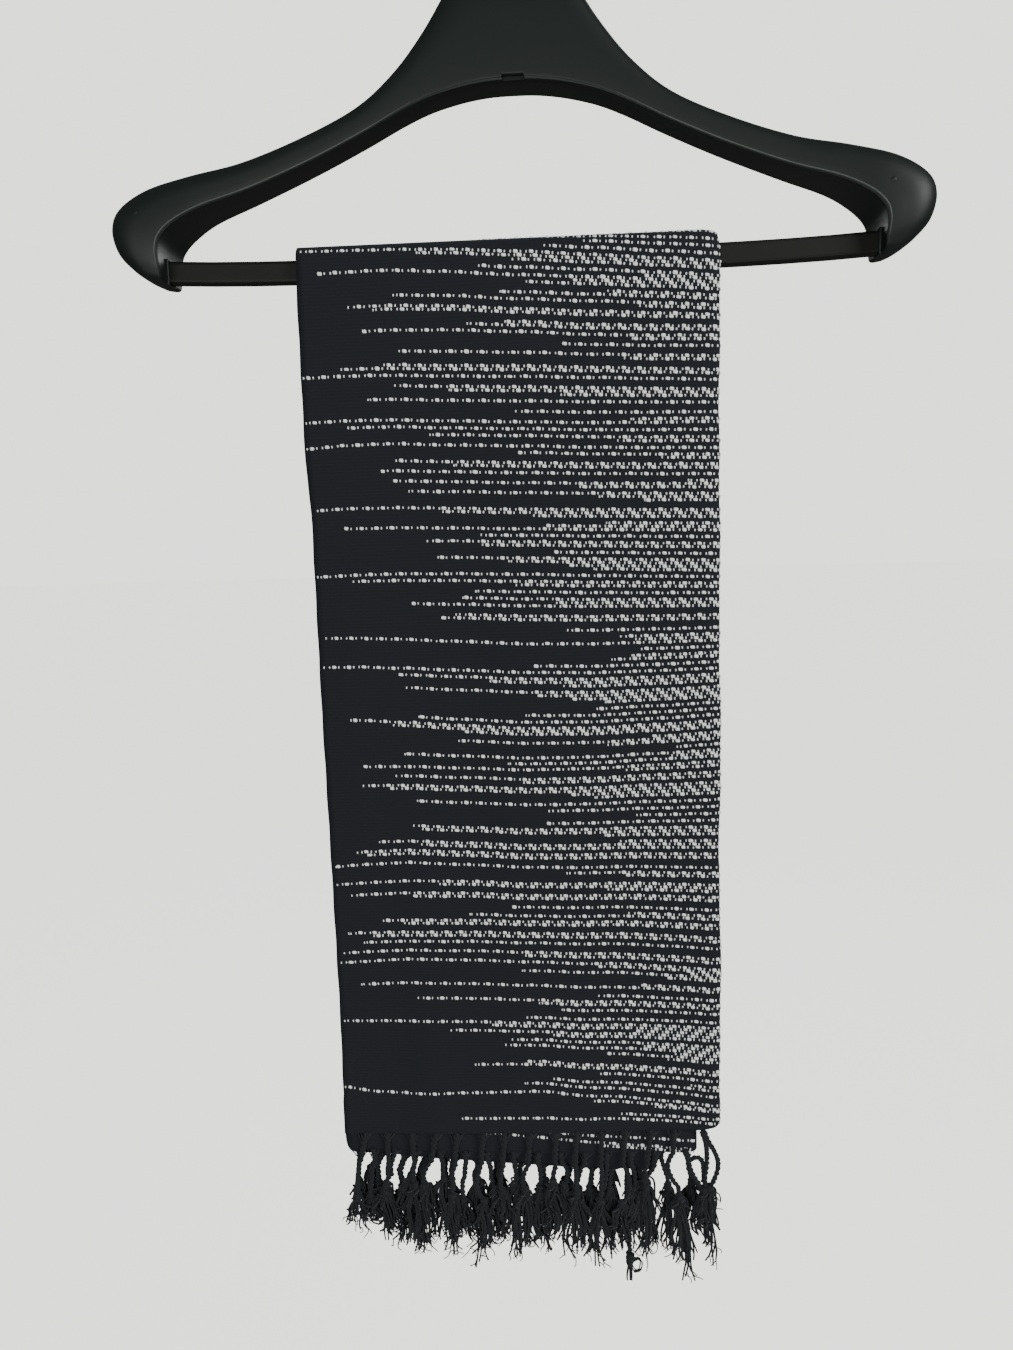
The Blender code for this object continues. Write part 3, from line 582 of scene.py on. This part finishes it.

# white rows, read on four crops of the picture, so many times enlarged: the crop's corner in the
# picture, and in the crop where a row starts, its height, and where it doubles and trebles. Six of the
# places were then moved a little.
enlarged = 300 / 89
startReadings = (
    (290, 240, (
        (28, 38, 420, 740), (850, 15), (980, 2), (625, 80), (90, 115, 950, 1200), (790, 135),
        (340, 182, 1170), (705, 172, 1070), (195, 222, 275), (590, 285, 720), (245, 308, 1150), (920, 345),
        (365, 374, 1120), (170, 435, 310), (45, 452), (345, 495, 530, 910), (255, 538), (755, 572),
        (50, 612, 1145), (195, 625), (470, 645, 1095), (50, 703), (770, 715, 1240), (345, 745, 545),
        (305, 780), (345, 812, 960, 1330))),
    (290, 480, (
        (390, 42, 1030, 1180), (70, 100, 500, 800), (165, 165, 855, 1050), (630, 182), (445, 210, 635),
        (875, 238), (485, 262, 720, 930), (1010, 296), (80, 322), (200, 343, 745), (610, 370),
        (570, 398, 880), (400, 420), (495, 460, 545), (920, 503), (1090, 520, 1150), (105, 532),
        (1170, 570), (1070, 600, 1135), (815, 620), (95, 625), (350, 657, 660), (905, 692),
        (370, 703, 820, 940), (1050, 745, 1390), (1020, 762), (780, 777), (420, 787),
        (185, 800, 330, 580))),
    (290, 715, (
        (545, 85, 1055, 1215), (1290, 103), (370, 132, 1270), (720, 155), (235, 172, 1120), (340, 203, 765),
        (230, 243, 325, 940), (1010, 274), (415, 288), (855, 315), (1150, 328), (850, 348),
        (390, 362, 430, 1045), (275, 428, 425, 1090), (210, 462, 245), (135, 515), (915, 528, 1115))),
    (290, 880, (
        (140, 20, 480, 1050), (185, 55, 395), (735, 90), (585, 112, 1125), (295, 135, 365), (175, 180, 265),
        (230, 212), (160, 250, 775), (150, 280, 1020, 1330), (765, 300, 1250), (220, 350, 1165), (1015, 388),
        (405, 402, 820), (895, 430), (780, 455), (160, 478, 660, 1150), (520, 502, 860), (720, 531, 1170),
        (700, 545, 1280), (1050, 575, 1250), (605, 620, 790), (1030, 648), (870, 665, 1330), (775, 685),
        (160, 700), (1000, 745, 1210), (1100, 790), (565, 800))),
)


def readWaves():
    # each row's drop at the third station, and how much lower it lies at all of them
    drops = []
    for places, heights in waveReadings:
        x, drop = np.array([fromPicture(*point) for point in zip(places, heights)]).T
        drops.append(np.interp(rowStations, x, drop))
    drops = np.array(sorted(drops, key=lambda row: row[2]))
    return np.column_stack([drops[:, 2], drops - drops[:, 2:3]])


waves = readWaves()
rowShape = np.concatenate([hiddenShape, np.round(waves, 1)])


def readPicks():
    # the white rows as pick numbers, at least two apart, and starts from the cloth's left edge
    found = []
    for cornerX, cornerY, places in startReadings:
        for across, down, *more in places:
            height = cornerY + down / enlarged
            starts = [fromPicture(cornerX + place / enlarged, height)[0] for place in (across, *more)]
            drop = level = fromPicture(cornerX + across / enlarged, height)[1]
            for _ in range(20):  # take the wave of the rows out of the drop
                lower = [np.interp(level, waves[:, 0], column) for column in waves[:, 1:].T]
                level = drop - np.interp(starts[0], rowStations, lower)
            found.append((level, *starts))
    rows = []
    for level, *starts in sorted(found):
        pick = round(level / weave["pitch"])
        if rows:
            pick = max(pick, rows[-1][0] + 2)
        rows.append((pick, *(int(round(x - edgeRows[1, 1])) for x in starts)))
    return rows


frontPicks = readPicks()


def rowOffset(x, t):
    # smooth between the stations and between the rows of the table
    levels = np.array([np.interp(t, rowShape[:, 0], rowShape[:, k + 1]) for k in range(len(rowStations))])
    place = np.interp(x, rowStations, np.arange(len(rowStations)))
    low = np.clip(np.floor(place).astype(int), 0, len(rowStations) - 2)
    share = place - low
    share = share * share * (3 - 2 * share) * 0.5 + share * 0.5
    picks = np.arange(len(x))
    return levels[low, picks] * (1 - share) + levels[low + 1, picks] * share


foldAngles = np.linspace(0, math.pi, 181)


def foldLengths(ply):
    x = ply["run"] * np.sin(foldAngles)
    out = ply["half"] * np.cos(foldAngles)
    return np.concatenate([[0], np.cumsum(np.hypot(np.diff(x), np.diff(out)))])


def onCloth(u, s, ply):
    # a point of a ply's outer face, u millimetres from its left edge
    left, right = edgesAt(s)
    left, right = left + ply["insetLeft"], right - ply["insetRight"]
    cornerTall, cornerPower = weave["hemCorner"]
    hemLow = np.clip((s - drape["straightDrop"]) / cornerTall, 0, 1)
    right = np.where(s > drape["straightDrop"],
                     ply["hemRight"] + (right - ply["hemRight"]) * np.sqrt(1 - hemLow ** cornerPower), right)
    straight = right - left - ply["run"]
    turn = np.interp(u - straight, foldLengths(ply), foldAngles)
    x = left + np.minimum(u, straight) + ply["run"] * np.sin(turn)
    return hang(x, ply["middle"] + ply["half"] * np.cos(turn), s)


def padShape(kind):
    # rings from inside the cloth up to the float's top, and both ends closed
    across, tall, proud = weave[kind]
    if kind == "wide":
        ring = np.array(((1, -0.5), (1, 0.5), (0.7, 1), (-0.7, 1),
                         (-1, 0.5), (-1, -0.5), (-0.7, -1), (0.7, -1)))
        levels = ((1.0, -weave["sink"]), (0.97, proud * 0.5), (0.7, proud))
    else:
        ring = np.array(((1, -0.8), (1, 0.8), (-1, 0.8), (-1, -0.8)))
        levels = ((1.15, -weave["sink"]), (0.8, proud))
    sides = len(ring)
    half = np.array((across, tall)) / 2
    rings = [np.column_stack([ring * (half * wide), np.full(sides, up)]) for wide, up in levels]
    points = np.concatenate(rings)
    one = np.arange(sides)
    two = np.roll(one, -1)
    quads = np.concatenate([np.stack([one, two, two + sides, one + sides], axis=1) + sides * i
                            for i in range(len(levels) - 1)])
    caps = [(one + (len(levels) - 1) * sides)[None, :], one[::-1][None, :]]
    return points, quads, caps


def pickRuns(rows):
    # every white stretch as pick number and start; a doubled row takes the pick on its emptier side
    taken = {row[0] for row in rows}
    runs = [(row[0], row[1]) for row in rows]
    for row in rows:
        top = low = row[0]
        for extra in row[2:]:
            roomAbove = next(n for n in range(1, 40) if top - n in taken or n == 39)
            roomBelow = next(n for n in range(1, 40) if low + n in taken or n == 39)
            if max(roomAbove, roomBelow) < 2:
                break
            if roomBelow >= roomAbove:
                low += 1
                spot = low
            else:
                top -= 1
                spot = top
            taken.add(spot)
            runs.append((spot, extra))
    return runs


def pickPhases(rows, seed):
    # each pick's floats stand a quarter repeat from the last one's; the lean turns only between bands
    dice = random.Random(seed)
    white = {pick for pick, _ in pickRuns(rows)}
    phase, lean, phases = 0.0, 1, {}
    first, last = weave["picks"]
    for pick in range(first, last + 1):
        if pick not in white:
            lean = dice.choice((1, 1, -1))
        phase = (phase + 0.25 * lean) % 1.0
        phases[pick] = phase
    return phases


def weftFloats(name, rows, ply, seed, lowering=rowOffset):
    dice = np.random.default_rng(seed)
    spots = {"wide": [], "small": []}
    phases = pickPhases(rows, seed)
    for pick, start in pickRuns(rows):
        t = pick * weave["pitch"]
        left, right = edgesAt(t)
        uEnd = right - left - ply["insetLeft"] - ply["insetRight"] - ply["run"] + weave["roundFold"]
        if t > drape["straightDrop"] + 20:  # here the hem's corner is rounded
            uEnd = ply["hemRight"] - left - 2.0
        first = math.floor(start / weave["repeat"]) - 1
        firstAt = uEnd
        for k in range(first, int(uEnd / weave["repeat"]) + 2):
            u = (k + phases[pick]) * weave["repeat"]
            aside = weave["smallAway"]
            for kind, at in (("wide", u), ("small", u - aside), ("small", u + aside)):
                if start + weave["startRoom"] < at < uEnd:
                    spots[kind].append((at, t))
                    firstAt = min(firstAt, at)
        if firstAt - start > weave["loneRoom"]:
            spots["small"].append((start + weave["loneStart"], t))
    points, faces, total = [], {}, 0
    for kind, places in spots.items():
        places = np.array(places)
        u, t = places[:, 0], places[:, 1]
        s = t + lowering(edgesAt(t)[0] + u, t)
        u = u + dice.normal(0, weave["jitter"], len(u))
        s = s + dice.normal(0, weave["jitter"], len(u))
        if kind == "small":
            s = s + weave["smallLower"]
        here = onCloth(u, s, ply)
        right = onCloth(u + 0.4, s, ply) - here
        slope = lowering(edgesAt(t)[0] + u + 2.0, t) - lowering(edgesAt(t)[0] + u, t)
        along = onCloth(u + 0.4, s + 0.2 * slope, ply) - here
        down = onCloth(u, s + 0.4, ply) - here
        normal = np.cross(down, right)
        normal /= np.linalg.norm(normal, axis=1)[:, None]
        along /= np.linalg.norm(along, axis=1)[:, None]
        up = np.cross(normal, along)
        pad, quads, caps = padShape(kind)
        pad[:, 1] -= weave["shear"] * pad[:, 0]
        size = 1 + dice.normal(0, weave["sizeJitter"], (len(u), 3))
        local = pad[None, :, :] * size[:, None, :]
        world = (here[:, None, :] + local[..., 0:1] * along[:, None, :] + local[..., 1:2] * up[:, None, :]
                 + local[..., 2:3] * normal[:, None, :])
        shift = total + np.arange(len(u))[:, None, None] * len(pad)
        for face in (quads, *caps):
            faces.setdefault(face.shape[1], []).append((face[None] + shift).reshape(-1, face.shape[1]))
        points.append(world.reshape(-1, 3))
        total += len(u) * len(pad)
    faces = [np.concatenate(sameSided) for sameSided in faces.values()]
    piece = meshPiece(name, np.concatenate(points), faces, yarnWhite)
    print(name, sum(len(p) for p in spots.values()), "floats")
    return piece


def backPicks():
    # the back goes on in the same ragged way as the front
    dice = random.Random(21)
    rows, pick = [], -20
    while pick > -292:
        start = dice.choice((2, 4, 15, 25, 40)) if dice.random() < 0.3 else dice.uniform(30, 185)
        row = [pick, round(start)]
        if dice.random() < 0.5:
            row.append(round(min(210, start + dice.uniform(8, 100))))
        if len(row) == 3 and dice.random() < 0.4:
            row.append(round(min(212, row[2] + dice.uniform(25, 80))))
        rows.append(row)
        pick -= dice.choice((2, 2, 3, 3, 3, 4))
    return rows


crownPicks = [(-9, 96), (-12, 118), (-14, 60, 140), (-17, 150)]
innerHemPicks = [(275, 42), (277, 79), (278, 150)]
frontFloats = weftFloats("weft_floats_front", frontPicks, plies["outer"], 11)
backFloats = weftFloats("weft_floats_back", crownPicks + backPicks(), plies["outer"], 12)


def hemRowLowering(x, t):
    return np.interp(x, (-74, -26, 20, 47, 83), (-0.9, -3.2, 0.2, 3.0, 5.2)) + (t > 497) * x / 50


hemFloats = weftFloats("weft_floats_inner_hem", innerHemPicks, plies["inner"], 13, hemRowLowering)
print("weave done")


# fringes: twisted cords, a knot, and a frayed tuft each

fringe = {
    "pitch": 14.0,
    "strandAway": 0.7,  # each of a cord's two strands from its middle
    "strandThick": 1.12,
    "cordTurn": 6.0,  # length of one twist
    "knotDrop": (522.0, 540.0),
    "rootYarns": 7,
    "rootSpread": 5.0,
    "clumps": 6,
    "yarns": 4,  # in a clump
    "shortYarns": 11,  # these stand out near the knot
    "yarnThick": 0.6,
    "spread": 6.6,
    "threads": 20,
    "threadThick": 0.33,
    "foreshortened": (493.0, 494.5, 1.105),  # a drop as read, the true one, and the stretch below it
    "lower": 3.0,  # the tufts end this much lower than read, and twice as much at the right
    "lowerFrom": 60.0,
}
fringeRows = {  # first lock, last, root y, lean to the front
    "a": (-103.5, 86, -9.9, -3.2), "b": (-100.5, 80, -8.3, -1.0),
    "c": (-108.5, 68, -6.6, 1.0), "d": (-97.0, 90, -4.8, 3.0)}
sideways = {("a", 0): -5.5, ("b", 0): -2.0, ("c", 0): -1.0}  # these cords lean as in the picture
lensGaps = np.array((  # the cords part round these: x, from drop, to drop, width
    (-100.4, 508, 514, 1.8), (-93.4, 509, 522, 2.4), (-84.9, 508, 517, 2.4), (-87.5, 520, 531, 4.0),
    (-79.6, 509, 532, 3.0), (-63.4, 510, 527, 7.0), (-67.9, 527, 534, 5.0), (-47.0, 512, 520, 2.4),
    (-39.7, 511, 518, 2.8), (-33.2, 511, 528, 4.6), (-19.4, 512, 528, 4.6), (-5.0, 512, 527, 7.0),
    (12.0, 512, 523, 5.2), (26.1, 513, 531, 4.6), (32.6, 513, 532, 2.2), (45.8, 513, 531, 8.2),
    (63.5, 513, 529, 3.5), (78.9, 506, 521, 5.3), (85.4, 518, 528, 2.4), (93.0, 509, 523, 7.0)))
lowEnds = np.array((  # where the tufts end: x, drop
    (-115, 538), (-108, 547), (-96, 548), (-90, 557), (-76, 560), (-65, 556), (-48, 557), (-38, 567),
    (-30, 549), (-22, 554), (-7, 561), (5, 558), (12, 546), (20, 562), (28, 549), (37, 566.3),
    (46, 563.05), (53, 550), (61, 559), (69, 554), (76, 568.6), (86, 569.5), (96, 564), (105, 550)))


cornerCords = (  # the length of the tuft, and the cord's x and drop on its way down
    (44.0, ((94.5, 493), (96.3, 498), (97.3, 505), (97.4, 513), (96.4, 521), (96.0, 530))),
    (36.0, ((95.8, 493), (98.0, 499), (101.8, 506), (104.0, 513), (102.6, 521), (99.2, 529))))
hoopCords = (
    ((85.0, 507), (87.0, 511.5), (90.0, 510.4), (93.4, 510.6), (95.4, 515), (95.4, 526)),
    ((85.0, 505), (86.6, 511.5), (88.0, 517.8), (90.6, 523.4), (93.4, 528.0), (94.8, 532)))
curlLoops = ((3.9, 4.4, 3.6), (3.0, 3.9, 3.2), (2.6, 4.9, 3.4), (3.4, 3.4, 4.2))  # wide, tall, away


def trueDrop(drop):
    # the two tables' drops were read flat on the picture, and four tuft ends were then set again;
    # this takes the foreshortening out
    read, true, stretch = fringe["foreshortened"]
    return np.round(true + (drop - read) * stretch, 1)


lensGaps[:, 1:3] = trueDrop(lensGaps[:, 1:3])
lowEnds[:, 1] = trueDrop(lowEnds[:, 1]) + fringe["lower"] * (1 + (lowEnds[:, 0] > fringe["lowerFrom"]))


def tubes(paths, radii, sides):
    # closed tubes round many paths at once: paths (count, steps, 3), radii (count, steps)
    count, steps, _ = paths.shape
    ahead = np.gradient(paths, axis=1)
    ahead /= np.linalg.norm(ahead, axis=2)[..., None] + 1e-12
    side = np.cross(ahead[:, 0], np.array([0.31, 0.93, 0.2]))
    side /= np.linalg.norm(side, axis=1)[:, None]
    rings = []
    for i in range(steps):
        side = side - ahead[:, i] * (side * ahead[:, i]).sum(axis=1)[:, None]
        side /= np.linalg.norm(side, axis=1)[:, None] + 1e-12
        other = np.cross(ahead[:, i], side)
        angle = np.arange(sides) * 2 * math.pi / sides
        ring = (side[:, None, :] * np.cos(angle)[None, :, None]
                + other[:, None, :] * np.sin(angle)[None, :, None])
        rings.append(paths[:, i, None, :] + ring * radii[:, i, None, None])
    points = np.stack(rings, axis=1).reshape(-1, 3)
    one = np.arange(sides)
    two = np.roll(one, -1)
    base = (np.arange(count)[:, None, None, None] * steps + np.arange(steps - 1)[None, :, None, None]) * sides
    quad = np.stack([one, two, two + sides, one + sides], axis=1)
    quads = (base + quad[None, None]).reshape(-1, 4)
    ends = np.concatenate([(np.arange(count) * steps * sides)[:, None] + one[::-1],
                           (np.arange(count) * steps * sides + (steps - 1) * sides)[:, None] + one])
    return points, quads, ends


def partRound(x, drop):
    # the cord passes each lens-shaped gap on the side it comes from
    moved = x.copy()
    for middle, top, low, wide in lensGaps:
        place = (drop - (top + low) / 2) / ((low - top) * 0.6)
        clear = (wide / 2 + 1.4) * np.sqrt(np.clip(1 - place ** 2, 0, 1))
        apart = x - middle
        way = 1.0 if np.interp((top + low) / 2, drop, apart) > 0 else -1.0
        moved += way * (np.sqrt(apart ** 2 + clear ** 2) - np.abs(apart))
    return moved


def cordPaths(middle, start):
    # two strands laid round each other along a path
    lengths = np.concatenate([[0], np.cumsum(np.linalg.norm(np.diff(middle, axis=0), axis=1))])
    turn = lengths / fringe["cordTurn"] * 2 * math.pi + start
    strands = []
    for angle in (turn, turn + math.pi):
        swing = np.stack([np.cos(angle), np.sin(angle), 0 * angle], axis=-1)
        strands.append(middle + fringe["strandAway"] * swing)
    return strands


def handPath(rows, y):
    # a smooth path through points that are given by x and drop
    return smoothRows(np.array([(x, y, -drape["barDrop"] - drop) for x, drop in rows]), 5)


def knotPath(at, start, size=1.0):
    wrap = np.linspace(0, 1, 18)
    turn = wrap * 2.6 * 2 * math.pi + start
    return at + size * np.stack([np.cos(turn) * 1.5, np.sin(turn) * 1.25, 1.9 - 4.2 * wrap], axis=-1)


def rootPaths(hem, x, ply, middle, dice):
    # warp ends gathered from the hem into the cord
    share = np.linspace(0, 1, 6)
    paths = []
    for start in np.linspace(-1, 1, fringe["rootYarns"]):
        fromX = x + start * fringe["rootSpread"] * dice.uniform(0.8, 1.1)
        top = hemDrop(hem, np.array([fromX]), ply)[0] - 0.8
        fromY, fromZ = middle[0, 1], -drape["barDrop"] - top
        goal = middle[dice.integers(5, 9)]
        ease = share ** dice.uniform(0.6, 0.9)
        paths.append(np.stack([fromX + (goal[0] - fromX) * ease, fromY + (goal[1] - fromY) * share,
                               fromZ + (goal[2] - fromZ) * share], axis=-1))
    return paths


def tuftPaths(knot, length, dice):
    # frayed yarn ends below a knot, held together in curling clumps, and fine threads at their edges
    share = np.linspace(0, 1, 11)
    yarns, threads = [], []
    drift = dice.uniform(-2.0, 2.0)
    begin = dice.uniform(0, 2 * math.pi)
    for clump in range(fringe["clumps"]):
        angle = begin + 2 * math.pi * (clump + dice.uniform(-0.3, 0.3)) / fringe["clumps"]
        reach = fringe["spread"] * dice.uniform(0.3, 1.0)
        run = length * (1.0 if clump == 0 else dice.uniform(0.4, 0.92))
        curl, swing, sway = dice.uniform(4, 9), dice.uniform(0, 2 * math.pi), dice.uniform(0.8, 2.4)
        turned = (np.sin(share * curl + swing) - math.sin(swing)) * share
        px = math.cos(angle) * (0.8 + reach * np.sin(share * 2.0)) + sway * turned + drift * share
        py = math.sin(angle) * (0.7 + 0.45 * reach * np.sin(share * 2.0))
        pz = -0.8 - run * share
        for _ in range(fringe["yarns"]):
            own, away = dice.uniform(0, 2 * math.pi), 1.5 * math.sqrt(dice.uniform(0.05, 1))
            hook, end = dice.uniform(-4.0, 4.0), dice.uniform(-2.5, 2.5)
            late = np.clip(share - 0.62, 0, 1) / 0.38
            turn = own + 2.2 * share
            yarns.append(knot + np.stack([px + away * (1 + 0.5 * share) * np.cos(turn) + hook * late ** 2,
                                          py + 0.8 * away * np.sin(turn),
                                          pz - end * share + 0.7 * abs(hook) * late ** 3], axis=-1))
        if clump % 2 == 0:  # fine thread ends fray from the clump's lower part
            for _ in range(fringe["threads"] // 3):
                begun = yarns[-dice.integers(1, fringe["yarns"] + 1)][dice.integers(6, 11)]
                away, fall = dice.uniform(-5.0, 5.0), dice.uniform(1.0, 6.0)
                wide, turns, swing = dice.uniform(0.2, 1.3), dice.uniform(1, 6), dice.uniform(0, 2 * math.pi)
                path = np.linspace(0, 1, 9)
                threads.append(begun + np.stack([
                    away * path + wide * (np.sin(path * turns + swing) - math.sin(swing)), 0.2 * away * path,
                    wide * (np.cos(path * turns + swing) - math.cos(swing)) - fall * path ** 0.8], axis=-1))
    for _ in range(fringe["shortYarns"]):
        angle, run = dice.uniform(0, 2 * math.pi), dice.uniform(4.0, 13.0)
        lift, curl, sway = dice.uniform(0, 3.0), dice.uniform(3, 9), dice.uniform(0.6, 1.8)
        px = math.cos(angle) * (0.9 + 0.6 * run * share) + sway * np.sin(share * curl)
        py = math.sin(angle) * (0.8 + 0.3 * run * share) + 0.5 * sway * np.sin(share * curl + 1)
        yarns.append(knot + np.stack([px, py, -0.8 - run * share ** 1.4 + lift * np.sin(share * 3.1)
                                      + 0.7 * sway * np.cos(share * curl)], axis=-1))
    return yarns, threads


def fringePiece(hem, seed):
    dice = np.random.default_rng(seed)
    firstLock, lastX, rootY, lean = fringeRows[hem]
    ply = plies["outer"] if hem in "ad" else plies["inner"]
    cords, knots, roots, yarns, threads = [], [], [], [], []
    down = np.linspace(0, 1, 26)
    for i in range(16):
        x = firstLock + i * fringe["pitch"] + dice.uniform(-1.2, 1.2)
        if x > lastX:
            continue
        top = hemDrop(hem, np.array([x]), ply)[0] - 0.6
        knotLength = dice.uniform(*fringe["knotDrop"]) - top
        leanX, bow, sway = dice.uniform(-4.5, 4.5), dice.uniform(-1.8, 1.8), dice.uniform(0, 2 * math.pi)
        leanX = sideways.get((hem, i), leanX)
        drop = top + knotLength * down
        across = x + leanX * down ** 1.3 + bow * np.sin(math.pi * down) + 0.5 * np.sin(down * 7 + sway) * down
        frontY = rootY - wave(np.array([x]), np.array([top]))[0]
        middle = np.stack([partRound(across, drop), frontY + lean * down * 0.6,
                           -drape["barDrop"] - drop], axis=-1)
        cords += cordPaths(middle, i)
        knots.append(knotPath(middle[-1], i * 2))
        roots += rootPaths(hem, x, ply, middle, dice)
        low = np.interp(middle[-1, 0], lowEnds[:, 0], lowEnds[:, 1]) - dice.uniform(-2, 6)
        tuft = tuftPaths(middle[-1], low - drop[-1], dice)
        yarns += tuft[0]
        threads += tuft[1]
    if hem == "c":  # one cord hangs below the rest, with a knot, a short tail and a curled thread
        path = np.stack([51.5 + 1.0 * down - 1.5 * np.sin(down * 3), -6.2 + 0 * down,
                         -drape["barDrop"] - 512 - 61 * down], axis=-1)
        cords += cordPaths(path, 0.5)
        knots += [knotPath(path[-1] - (0, 0, 2), 1.0, 1.2), knotPath(path[-1] - (0.4, 0, 5), 2.0, 0.9)]
        tail = np.linspace(0, 1, 11)
        for aside, bend in ((-0.8, -1.8), (0.3, 0.6), (0.0, -0.4)):
            yarns.append(path[-1] + np.stack([aside + bend * np.sin(tail * 2.5) * tail, 0 * tail,
                                              -5 - 13 * tail], axis=-1))
        loop = np.linspace(0, 1, 9)
        for wide, tall, away in curlLoops:
            for turns, start in ((5.4, 0.0), (6.5, 1.0), (4.0, 2.0)):
                turn = loop * turns + start
                uneven = 1 + 0.16 * np.sin(2.3 * turn + wide)
                threads.append(path[-1] + np.stack([away - wide * uneven * np.cos(turn), 0.9 * loop,
                                                    tall * uneven * np.sin(turn) - 8.0], axis=-1))
    if hem == "a":  # two cords leave the fold's corner, one of them bowed out to the right
        for tuftLength, rows in cornerCords:
            path = handPath(rows, -9.5)
            cords += cordPaths(path, rows[0][0])
            knots.append(knotPath(path[-1], 1.0))
            tuft = tuftPaths(path[-1], tuftLength, dice)
            yarns += tuft[0]
            threads += tuft[1]
    if hem == "b":  # the last cord bends over in a hoop towards them, and another leans the same way
        for rows in hoopCords:
            cords += cordPaths(handPath(rows, -8.6), rows[1][0])
    points, faces, total = [], {}, 0
    for paths, thick, taper, sides in (
            (cords, fringe["strandThick"], (1.15, 1.0, 1.0), 6), (knots, 1.15, (1, 1, 1), 6),
            (roots, 0.42, (0.9, 1.0, 1.1), 4), (yarns, fringe["yarnThick"], (1.2, 1.1, 0.8), 4),
            (threads, fringe["threadThick"], (1.1, 1, 0.8), 3)):
        paths = np.array(paths)
        sizes = thick * np.interp(np.linspace(0, 1, paths.shape[1]), (0, 0.5, 1), taper)
        tube, quads, ends = tubes(paths, np.broadcast_to(sizes, paths.shape[:2]), sides)
        points.append(tube)
        faces.setdefault(4, []).append(quads + total)
        faces.setdefault(ends.shape[1], []).append(ends + total)
        total += len(tube)
    faces = [np.concatenate(sameSided) for sameSided in faces.values()]
    piece = meshPiece(f"fringe_yarns_{hem}", np.concatenate(points), faces, yarnBlack)
    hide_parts(f"fringe_{hem}")
    return piece


fringes = {hem: fringePiece(hem, 40 + i) for i, hem in enumerate("abcd")}
print("fringes done")


# floor, light and camera

studio = {
    "floorSize": 60,
    "floorDrop": 1.25,
    "floorGlow": 2.05,  # the floor and the room are seen paler than they light the scarf
    "roomSeen": 2.2,
    "roomLight": 0.14,
    "lamps": (  # place, aim, size, watts
        ("key softbox", (1.6, -1.3, 0.5), (0.0, 0.0, -0.4), 1.0, 34.0),
        ("fill softbox", (-0.5, -2.1, -0.55), (0.0, 0.0, -0.45), 1.3, 26.0),
        ("back softbox", (0.3, 1.6, 0.6), (0.0, 0.0, -0.3), 1.2, 12.0)),
}
bpy.ops.mesh.primitive_plane_add(size=studio["floorSize"], location=(0, 0, -studio["floorDrop"]))
floor = bpy.context.object
floor.name = "floor"
floorPaint, tree, shader = newMaterial(
    "matt pale floor paint", Base_Color=paint("#A5A39F"), Roughness=0.95, Specular_IOR_Level=0.1)
rays = addNode(tree, "ShaderNodeLightPath")
glow = addNode(tree, "ShaderNodeMath", {1: studio["floorGlow"]}, {0: rays.outputs["Is Camera Ray"]},
               operation="MULTIPLY")
tree.links.new(glow.outputs[0], shader.inputs["Emission Strength"])
shader.inputs["Emission Color"].default_value = paint("#F4F3F0")
floor.data.materials.append(floorPaint)

world = bpy.data.worlds.new("studio") if not bpy.context.scene.world else bpy.context.scene.world
bpy.context.scene.world = world
world.use_nodes = True
tree = world.node_tree
tree.nodes.clear()
rays = addNode(tree, "ShaderNodeLightPath")
seen = addNode(tree, "ShaderNodeBackground", {"Color": paint("#F4F3F0"), "Strength": studio["roomSeen"]})
lit = addNode(tree, "ShaderNodeBackground", {"Color": paint("#E8ECF2"), "Strength": studio["roomLight"]})
mixed = addNode(tree, "ShaderNodeMixShader", {}, {"Fac": rays.outputs["Is Camera Ray"]})
tree.links.new(lit.outputs[0], mixed.inputs[1])
tree.links.new(seen.outputs[0], mixed.inputs[2])
addNode(tree, "ShaderNodeOutputWorld", {}, {"Surface": mixed.outputs[0]})

for name, place, aim, size, watts in studio["lamps"]:
    lamp = bpy.data.lights.new(name, "AREA")
    lamp.shape = "SQUARE"
    lamp.size = size
    lamp.energy = watts
    holder = bpy.data.objects.new(name, lamp)
    bpy.context.scene.collection.objects.link(holder)
    holder.location = place
    holder.rotation_euler = (Vector(place) - Vector(aim)).to_track_quat("Z", "Y").to_euler()

cameraData = bpy.data.cameras.new("camera")
cameraData.sensor_fit = "HORIZONTAL"
cameraData.sensor_width = shot["sensor"]
cameraData.lens = shot["lens"]
camera = bpy.data.objects.new("camera", cameraData)
bpy.context.scene.collection.objects.link(camera)
camera.location = [length * mm for length in shot["place"]]
camera.rotation_euler = shotTurn.to_euler()
bpy.context.scene.camera = camera
